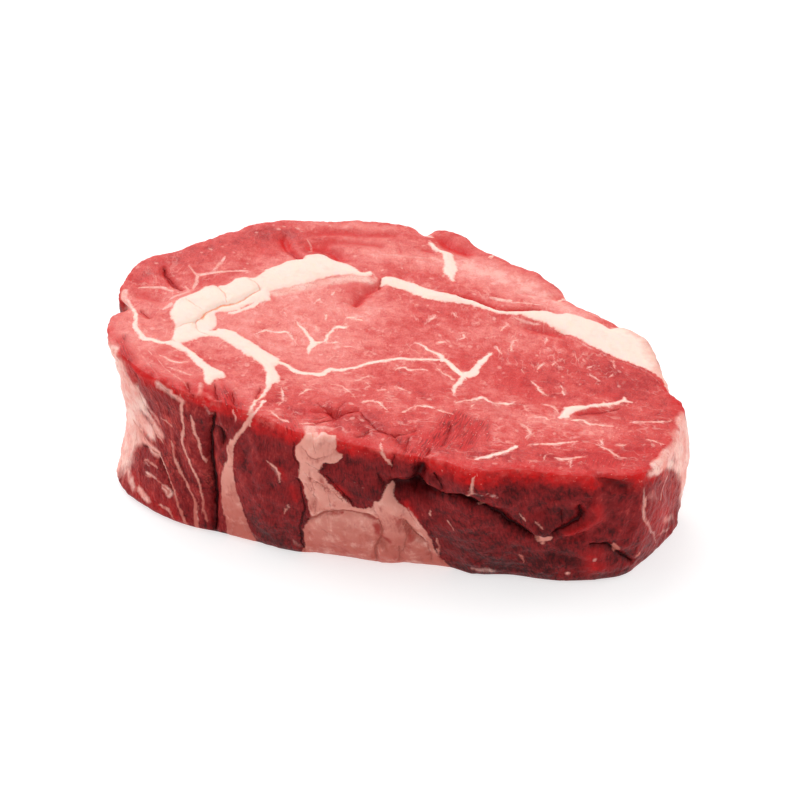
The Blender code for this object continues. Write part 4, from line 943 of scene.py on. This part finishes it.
def flesh(name, specular, translucency):
    """Raw beef: wet red lean, matt cream fat and thin films, told apart by the slice's fields."""
    material = bpy.data.materials.new(name)
    material.use_nodes = True
    tree = material.node_tree
    shader = tree.nodes["Principled BSDF"]
    field = {name: put(tree, "ShaderNodeAttribute", attribute_name=name).outputs["Fac"]
             for name in fields}
    lie, pull = (put(tree, "ShaderNodeAttribute", attribute_name=name).outputs["Vector"]
                 for name in ("lie", "pull"))

    def math_of(operation, a, b=0.0, c=0.0):
        return put(tree, "ShaderNodeMath", {0: a, 1: b, 2: c}, operation=operation).outputs[0]

    def ramp(value, low, high, to_low=0.0, to_high=1.0):
        return put(tree, "ShaderNodeMapRange", {
            "Value": value, "From Min": low, "From Max": high, "To Min": to_low, "To Max": to_high},
            interpolation_type="SMOOTHSTEP").outputs[0]

    def blend(share, below, above):
        return put(tree, "ShaderNodeMix", {0: share, 6: below, 7: above}, data_type="RGBA").outputs[2]

    def cloud(where, size_mm, detail=3.0, distortion=0.0):
        """Noise about 0, from roughly -0.5 to 0.5."""
        grain = put(tree, "ShaderNodeTexNoise", {
            "Vector": where, "Scale": 1.0 / size_mm, "Detail": detail, "Roughness": 0.6,
            "Distortion": distortion}).outputs["Fac"]
        return math_of("SUBTRACT", grain, 0.5)

    def add(base, amount, factor):
        return math_of("MULTIPLY_ADD", amount, factor, base)

    metres = put(tree, "ShaderNodeTexCoord").outputs["Object"]
    place = put(tree, "ShaderNodeVectorMath", {0: metres, 3: 1000.0}, operation="SCALE").outputs[0]
    drift_by = put(tree, "ShaderNodeTexNoise", {"Vector": place, "Scale": 0.2, "Detail": 2.0})
    drift = put(tree, "ShaderNodeVectorMath", {
        0: drift_by.outputs["Color"], 1: (3.0, 3.0, 3.0), 2: place}, operation="MULTIPLY_ADD").outputs[0]
    parts = put(tree, "ShaderNodeSeparateXYZ", {0: place}).outputs
    ragged = add(add(field["over"], cloud(place, 5.0, 3.0), 5.0), cloud(place, 1.3, 3.0), 3.0)
    cut_here = ramp(ragged, 3.2, 0.4)

    # Fat: its areas and veins, with edges that wander by a few tenths of a millimetre.
    wander = cloud(place, 1.7, 4.0)
    area = add(field["fat_depth"], wander, 1.7)
    width = add(field["vein_half"], cloud(place, 1.9, 2.0), 1.1)
    frayed_by = add(math_of("MULTIPLY", wander, 1.1), cloud(place, 0.6, 2.0), 0.5)
    vein = math_of("SUBTRACT", width, math_of("ABSOLUTE", math_of("ADD", field["vein_offset"], frayed_by)))
    deep = math_of("MAXIMUM", area, vein)
    fat = math_of("MAXIMUM", ramp(area, -0.3, 0.3), ramp(vein, -0.5, 0.42))
    crease = math_of("SUBTRACT", add(field["crease_half"], cloud(place, 2.3, 2.0), 0.5),
                     math_of("ABSOLUTE", add(field["crease_offset"], wander, 1.0)))
    crease = ramp(crease, -0.3, 0.25)

    # Marbling too fine to draw: short threads in patches and small soft flecks.
    up_lean = ramp(parts[1], -30.0, -8.0)
    stretched = [put(tree, "ShaderNodeMapping", {"Vector": drift, "Scale": scale}).outputs[0]
                 for scale in ((0.42, 1.0, 1.0), (1.0, 0.5, 1.0))]
    ways = [math_of("ABSOLUTE", cloud(where, 3.2, 2.0)) for where in stretched]
    thread = put(tree, "ShaderNodeMix", {0: up_lean, 2: ways[0], 3: ways[1]}, data_type="FLOAT").outputs[0]
    thready = math_of("MAXIMUM", ramp(cloud(place, 6.0, 1.0), -0.05, 0.15, 0.1, 0.8), ramp(vein, -2.6, -0.6))
    thready = math_of("MULTIPLY", thready, ramp(parts[1], 44.0, 18.0, 0.3, 1.0))
    thread = math_of("MULTIPLY", ramp(thread, 0.045, 0.0), thready)
    cells = put(tree, "ShaderNodeTexVoronoi", {
        "Vector": drift, "Scale": 1.0 / 2.6, "Randomness": 1.0}, feature="F1")
    fleck = math_of("SUBTRACT", ramp(cells.outputs["Color"], 0.4, 1.0, 0.0, 0.27),
                    cells.outputs["Distance"])
    fine = math_of("MAXIMUM", thread, ramp(fleck, -0.12, 0.08))
    fine = math_of("MULTIPLY", fine, field["cut"])

    # Cut lean: paler towards the thick left end and deeper towards the thin right one, partly its own tone and partly
    # painted sheen of the light from behind on the left; mottled in bundles.
    mottle = cloud(drift, 3.4, 5.0)
    speckle = cloud(place, 0.75, 2.0)
    tone_sheen_and_shade = ramp(parts[0], -80.0, 90.0, 0.86, 0.4)
    tone_sheen_and_shade = add(add(tone_sheen_and_shade, field["tone_and_edge_shade"], 1.0), cloud(place, 16.0, 2.0), 0.5)
    tone_sheen_and_shade = add(add(tone_sheen_and_shade, mottle, 1.25), speckle, 0.55)
    cut_lean = blend(ramp(tone_sheen_and_shade, 0.0, 0.5), paint("#AC191C"), paint("#D1423E"))
    cut_lean = blend(ramp(tone_sheen_and_shade, 0.4, 0.95), cut_lean, paint("#E57A72"))
    cut_lean = blend(ramp(tone_sheen_and_shade, 0.85, 1.5), cut_lean, paint("#F4AEA4"))
    cut_lean = blend(math_of("MULTIPLY", fine, 0.5), cut_lean, paint("#F3B3A7"))
    # Painted glow in the hollows of the relief: a bright saturated red for light passing through the thin lean round
    # them.
    hollow = ramp(field["hollow"], 0.3, 1.9)
    cut_lean = blend(math_of("MULTIPLY", hollow, 0.9), cut_lean, paint("#DE2524"))

    # Wall lean: dark blood-red strands and patches, partly its own colour and partly painted shade, with painted shade
    # darker still towards the table.
    strand = cloud(lie, 1.6, 5.0)
    clots = cloud(drift, 5.0, 3.0)
    side_tone_and_shade = add(field["wall_level_and_shade"], clots, 0.95)
    side_tone_and_shade = add(side_tone_and_shade, math_of("MULTIPLY", strand, field["strandy"]), 1.3)
    hairs = cloud(lie, 0.55, 2.0)
    side_tone_and_shade = add(add(add(side_tone_and_shade, speckle, 0.5), hairs, 1.1), mottle, 0.5)
    side_tone_and_shade = add(side_tone_and_shade, ramp(parts[2], 2.0, 26.0, -0.5, 0.0), 0.3)
    side_lean = blend(ramp(side_tone_and_shade, -0.15, 0.4), paint("#46070A"), paint("#84181B"))
    side_lean = blend(ramp(side_tone_and_shade, 0.35, 1.1), side_lean, paint("#C4463F"))
    # Painted shade of fine wrinkles: thin near-black lines with no relief under them.
    wrinkle = math_of("MULTIPLY", ramp(math_of("ABSOLUTE", cloud(drift, 9.0, 4.0)), 0.022, 0.0),
                      ramp(cloud(place, 12.0, 1.0), -0.02, 0.1))
    side_lean = blend(math_of("MULTIPLY", wrinkle, 0.6), side_lean, paint("#2E0508"))
    lean = blend(cut_here, side_lean, cut_lean)

    # Painted glow: thin lean at the edge and in tears is painted bright red, where light would pass through it.
    edge_gap = math_of("ABSOLUTE", math_of("SUBTRACT", ragged, 1.5))
    tags = cloud(drift, 2.4, 4.0)
    rim = math_of("MULTIPLY", ramp(edge_gap, 4.6, 1.0), ramp(cloud(place, 8.0, 2.0), -0.16, 0.1, 0.45, 1.0))
    rim = math_of("MULTIPLY", rim, ramp(add(tags, speckle, 0.4), -0.22, 0.1, 0.4, 1.0))
    rim = math_of("MULTIPLY", rim, ramp(parts[1], 25.0, -25.0, 0.4, 1.0))
    fibre = cloud(pull, 0.42, 3.0)
    red = math_of("MAXIMUM", math_of("MULTIPLY", field["painted_glow"], ramp(mottle, -0.25, 0.1, 0.55, 1.0)), rim)
    lean = blend(red, lean, paint("#CC1617"))
    # Torn fibres follow the noise of their bump: deep red in its grooves as painted shade, pale pink on its crests as
    # painted highlight, with pale specks as painted wet glints.
    frayed = blend(ramp(fibre, -0.12, 0.02), paint("#8C0408"), paint("#C81E1E"))
    frayed = blend(ramp(fibre, 0.12, 0.3), frayed, paint("#EE8F84"))
    frayed = blend(ramp(cloud(place, 0.55, 1.0), 0.2, 0.27, 0.0, 0.7), frayed, paint("#F6C9BE"))
    lean = blend(ramp(add(field["torn"], mottle, 0.6), 0.15, 0.65, 0.0, 0.92), lean, frayed)
    shreds = math_of("MULTIPLY", ramp(edge_gap, 4.0, 1.4), ramp(add(tags, cloud(lie, 0.7, 2.0), 0.6), 0.16, 0.34))
    lean = blend(math_of("MULTIPLY", shreds, 0.6), lean, paint("#F2A093"))
    # Painted glints of wet: small pale specks over the front of the cut face.
    painted_glints = math_of("MULTIPLY", ramp(cloud(place, 0.5, 1.0), 0.22, 0.29), ramp(parts[1], -18.0, -44.0, 0.1, 0.75))
    lean = blend(math_of("MULTIPLY", painted_glints, cut_here), lean, paint("#F5C6BC"))
    # Painted shade in creases and cavities: near black on the wall, deep red on the cut face.
    painted_shade_colour = blend(cut_here, paint("#240306"), paint("#A80B0F"))
    lean = blend(math_of("MULTIPLY", field["painted_shade"], 0.9), lean, painted_shade_colour)
    # Painted shade along the narrow creases as well.
    lean = blend(math_of("MULTIPLY", crease, 0.8), lean, blend(cut_here, paint("#2A0406"), paint("#B00C10")))

    # Films over the lean, streaked along the strands.
    feather = math_of("ADD", strand, mottle)
    veil = ramp(add(add(field["film"], feather, 0.26), field["cut"], -0.13), 0.22, 0.62)
    pleat = math_of("MULTIPLY", ramp(math_of("ABSOLUTE", cloud(lie, 2.6, 3.0)), 0.03, 0.0), 0.4)
    sheet = blend(ramp(cloud(place, 7.0, 3.0), -0.12, 0.15), paint("#ECA094"), paint("#F8CBBF"))
    sheet = blend(pleat, sheet, paint("#C9635C"))
    lean = blend(math_of("MULTIPLY", veil, 0.94), lean, sheet)

    # Fat is salmon where it is thin and cream where it is deep; on the wall it is rosier,
    # browner pink low down as painted shade, and paler on the crests of its lobes as painted highlight.
    lobes = cloud(drift, 4.0, 3.0)
    cut_fat = blend(ramp(deep, -0.25, 0.7), paint("#EE9F93"), paint("#F8D6C9"))
    cut_fat = blend(ramp(deep, 0.8, 2.8), cut_fat, paint("#F3D8CA"))
    cut_fat = blend(ramp(lobes, 0.0, 0.25, 0.0, 0.5), cut_fat, paint("#F0C6B6"))
    side_fat = blend(ramp(add(parts[2], lobes, 20.0), 4.0, 30.0), paint("#BE6458"), paint("#DD9587"))
    side_fat = blend(ramp(add(lobes, strand, 0.7), 0.0, 0.34, 0.0, 0.6), side_fat, paint("#EFB9AB"))
    side_fat = blend(ramp(add(clots, strand, 0.6), 0.0, 0.3, 0.0, 0.8), side_fat, paint("#A8483F"))
    fat_colour = blend(ramp(ragged, 3.0, -2.8), side_fat, cut_fat)
    # Painted glow over the fat too: brick red on the wall, orange on the cut face.
    fat_colour = blend(ramp(add(field["painted_glow"], mottle, 0.8), 0.3, 0.8, 0.0, 0.8), fat_colour,
                       blend(cut_here, paint("#A02A26"), paint("#F09E7C")))
    # Creases in the fat are painted too: brownish pink on the wall as painted shade, warm orange on the cut face as
    # painted glow.
    fat_colour = blend(math_of("MULTIPLY", crease, 0.9), fat_colour,
                       blend(cut_here, paint("#A9564A"), paint("#F2916C")))
    colour = blend(fat, lean, fat_colour)
    tree.links.new(colour, shader.inputs["Base Color"])

    # Wet lean shines softly, torn fibres less; fat is waxy.
    rough = ramp(tone_sheen_and_shade, 0.0, 1.0, 0.38, 0.46)
    rough = put(tree, "ShaderNodeMix", {0: field["torn"], 2: rough, 3: 0.5}, data_type="FLOAT").outputs[0]
    rough = put(tree, "ShaderNodeMix", {0: fat, 2: rough, 3: 0.5}, data_type="FLOAT").outputs[0]
    tree.links.new(rough, shader.inputs["Roughness"])
    shader.inputs["IOR"].default_value = 1.42
    shader.inputs["Specular IOR Level"].default_value = specular
    shader.inputs["Subsurface Weight"].default_value = translucency
    shader.inputs["Subsurface Radius"].default_value = (1.0, 0.22, 0.12)
    shader.inputs["Subsurface Scale"].default_value = 0.003

    # Bump: the grain of the cut fibres, the strands of the wall, and the lobes of the fat.
    cut_grain = add(mottle, cloud(drift, 0.6, 2.0), 0.5)
    side_grain = add(math_of("MULTIPLY", strand, add(0.4, field["strandy"], 1.2)), clots, 1.4)
    height = put(tree, "ShaderNodeMix", {0: cut_here, 2: side_grain, 3: cut_grain}, data_type="FLOAT").outputs[0]
    height = put(tree, "ShaderNodeMix", {0: field["torn"], 2: height, 3: math_of("MULTIPLY", fibre, 0.7)},
                 data_type="FLOAT").outputs[0]
    height = put(tree, "ShaderNodeMix", {0: fat, 2: height, 3: add(math_of("MULTIPLY", lobes, 0.6), wander, 0.15)},
                 data_type="FLOAT").outputs[0]
    height = add(add(height, fine, 0.1), math_of("MULTIPLY", crease, ramp(fat, 0.0, 1.0, 1.0, 0.3)), -1.1)
    bump = put(tree, "ShaderNodeBump", {"Height": height, "Strength": 0.65, "Distance": 0.0007})
    tree.links.new(bump.outputs[0], shader.inputs["Normal"])
    return material


# The cut face is wetter than the outside of the muscles, which has dried a little.
mesh.materials.append(flesh("raw beef, cut face", specular=0.5, translucency=0.3))
mesh.materials.append(flesh("raw beef, outer side", specular=0.14, translucency=0.16))
is_side = np.ones(len(mesh.polygons), np.int32)
is_side[(row_count - 3) * SEGMENTS:] = 0
mesh.polygons.foreach_set("material_index", is_side)
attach(ribeye, "root")
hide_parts("steak")

# ---------------------------------------------------------------------------
# The table and the light. A plain pale floor, one broad soft light from behind on the left,
# and an even pale room round it.
# ---------------------------------------------------------------------------
FLOOR_RADIUS = 6.0
floor_mesh = bpy.data.meshes.new("floor")
floor_edge = [(FLOOR_RADIUS * math.cos(a), FLOOR_RADIUS * math.sin(a), 0.0)
              for a in np.linspace(0.0, 2.0 * math.pi, 64, endpoint=False)]
floor_mesh.from_pydata(floor_edge, [], [tuple(range(64))])
floor = bpy.data.objects.new("floor", floor_mesh)
bpy.context.scene.collection.objects.link(floor)
card = bpy.data.materials.new("matt white card")
card.use_nodes = True
card_shader = card.node_tree.nodes["Principled BSDF"]
card_shader.inputs["Base Color"].default_value = (0.5, 0.5, 0.5, 1.0)
card_shader.inputs["Emission Color"].default_value = (1.0, 1.0, 1.0, 1.0)
card_shader.inputs["Emission Strength"].default_value = 0.62
card_shader.inputs["Roughness"].default_value = 1.0
card_shader.inputs["Specular IOR Level"].default_value = 0.0
floor_mesh.materials.append(card)

scene = bpy.context.scene
scene.view_settings.view_transform = "Standard"
scene.view_settings.look = "None"

ROOM_LIGHT = 0.5
room = bpy.data.worlds.new("studio")
room.use_nodes = True
scene.world = room
tree = room.node_tree
tree.nodes.clear()
seen = put(tree, "ShaderNodeLightPath").outputs["Is Camera Ray"]
strength = put(tree, "ShaderNodeMapRange", {
    "Value": seen, "To Min": ROOM_LIGHT, "To Max": 1.1}).outputs[0]
backdrop = put(tree, "ShaderNodeBackground", {"Color": (1.0, 1.0, 1.0, 1.0), "Strength": strength})
put(tree, "ShaderNodeOutputWorld", {"Surface": backdrop.outputs[0]})


def sun(name, azimuth, elevation, spread, strength):
    """A soft far light; azimuth is the side it comes from, 0 for +X and 90 for +Y."""
    lamp = bpy.data.lights.new(name, "SUN")
    lamp.energy, lamp.angle = strength, math.radians(spread)
    place = bpy.data.objects.new(name, lamp)
    a, e = math.radians(azimuth), math.radians(elevation)
    way = Vector((math.cos(a) * math.cos(e), math.sin(a) * math.cos(e), math.sin(e)))
    place.rotation_euler = way.to_track_quat("Z", "Y").to_euler()
    scene.collection.objects.link(place)


sun("key", azimuth=125, elevation=52, spread=60, strength=1.75)
sun("right", azimuth=0, elevation=25, spread=60, strength=1.3)
sun("left", azimuth=180, elevation=25, spread=60, strength=0.9)

CAMERA_ELEVATION = math.radians(35.0)
CAMERA_DISTANCE = 0.62
AIM = Vector((0.0008, -0.00054, 0.020))
camera = bpy.data.objects.new("camera", bpy.data.cameras.new("camera"))
camera.data.sensor_width = 36.0
camera.data.lens = 91.8
camera.location = AIM + CAMERA_DISTANCE * Vector(
    (0.0, -math.cos(CAMERA_ELEVATION), math.sin(CAMERA_ELEVATION)))
camera.rotation_euler = (math.pi / 2 - CAMERA_ELEVATION, 0.0, 0.0)
scene.collection.objects.link(camera)
scene.camera = camera
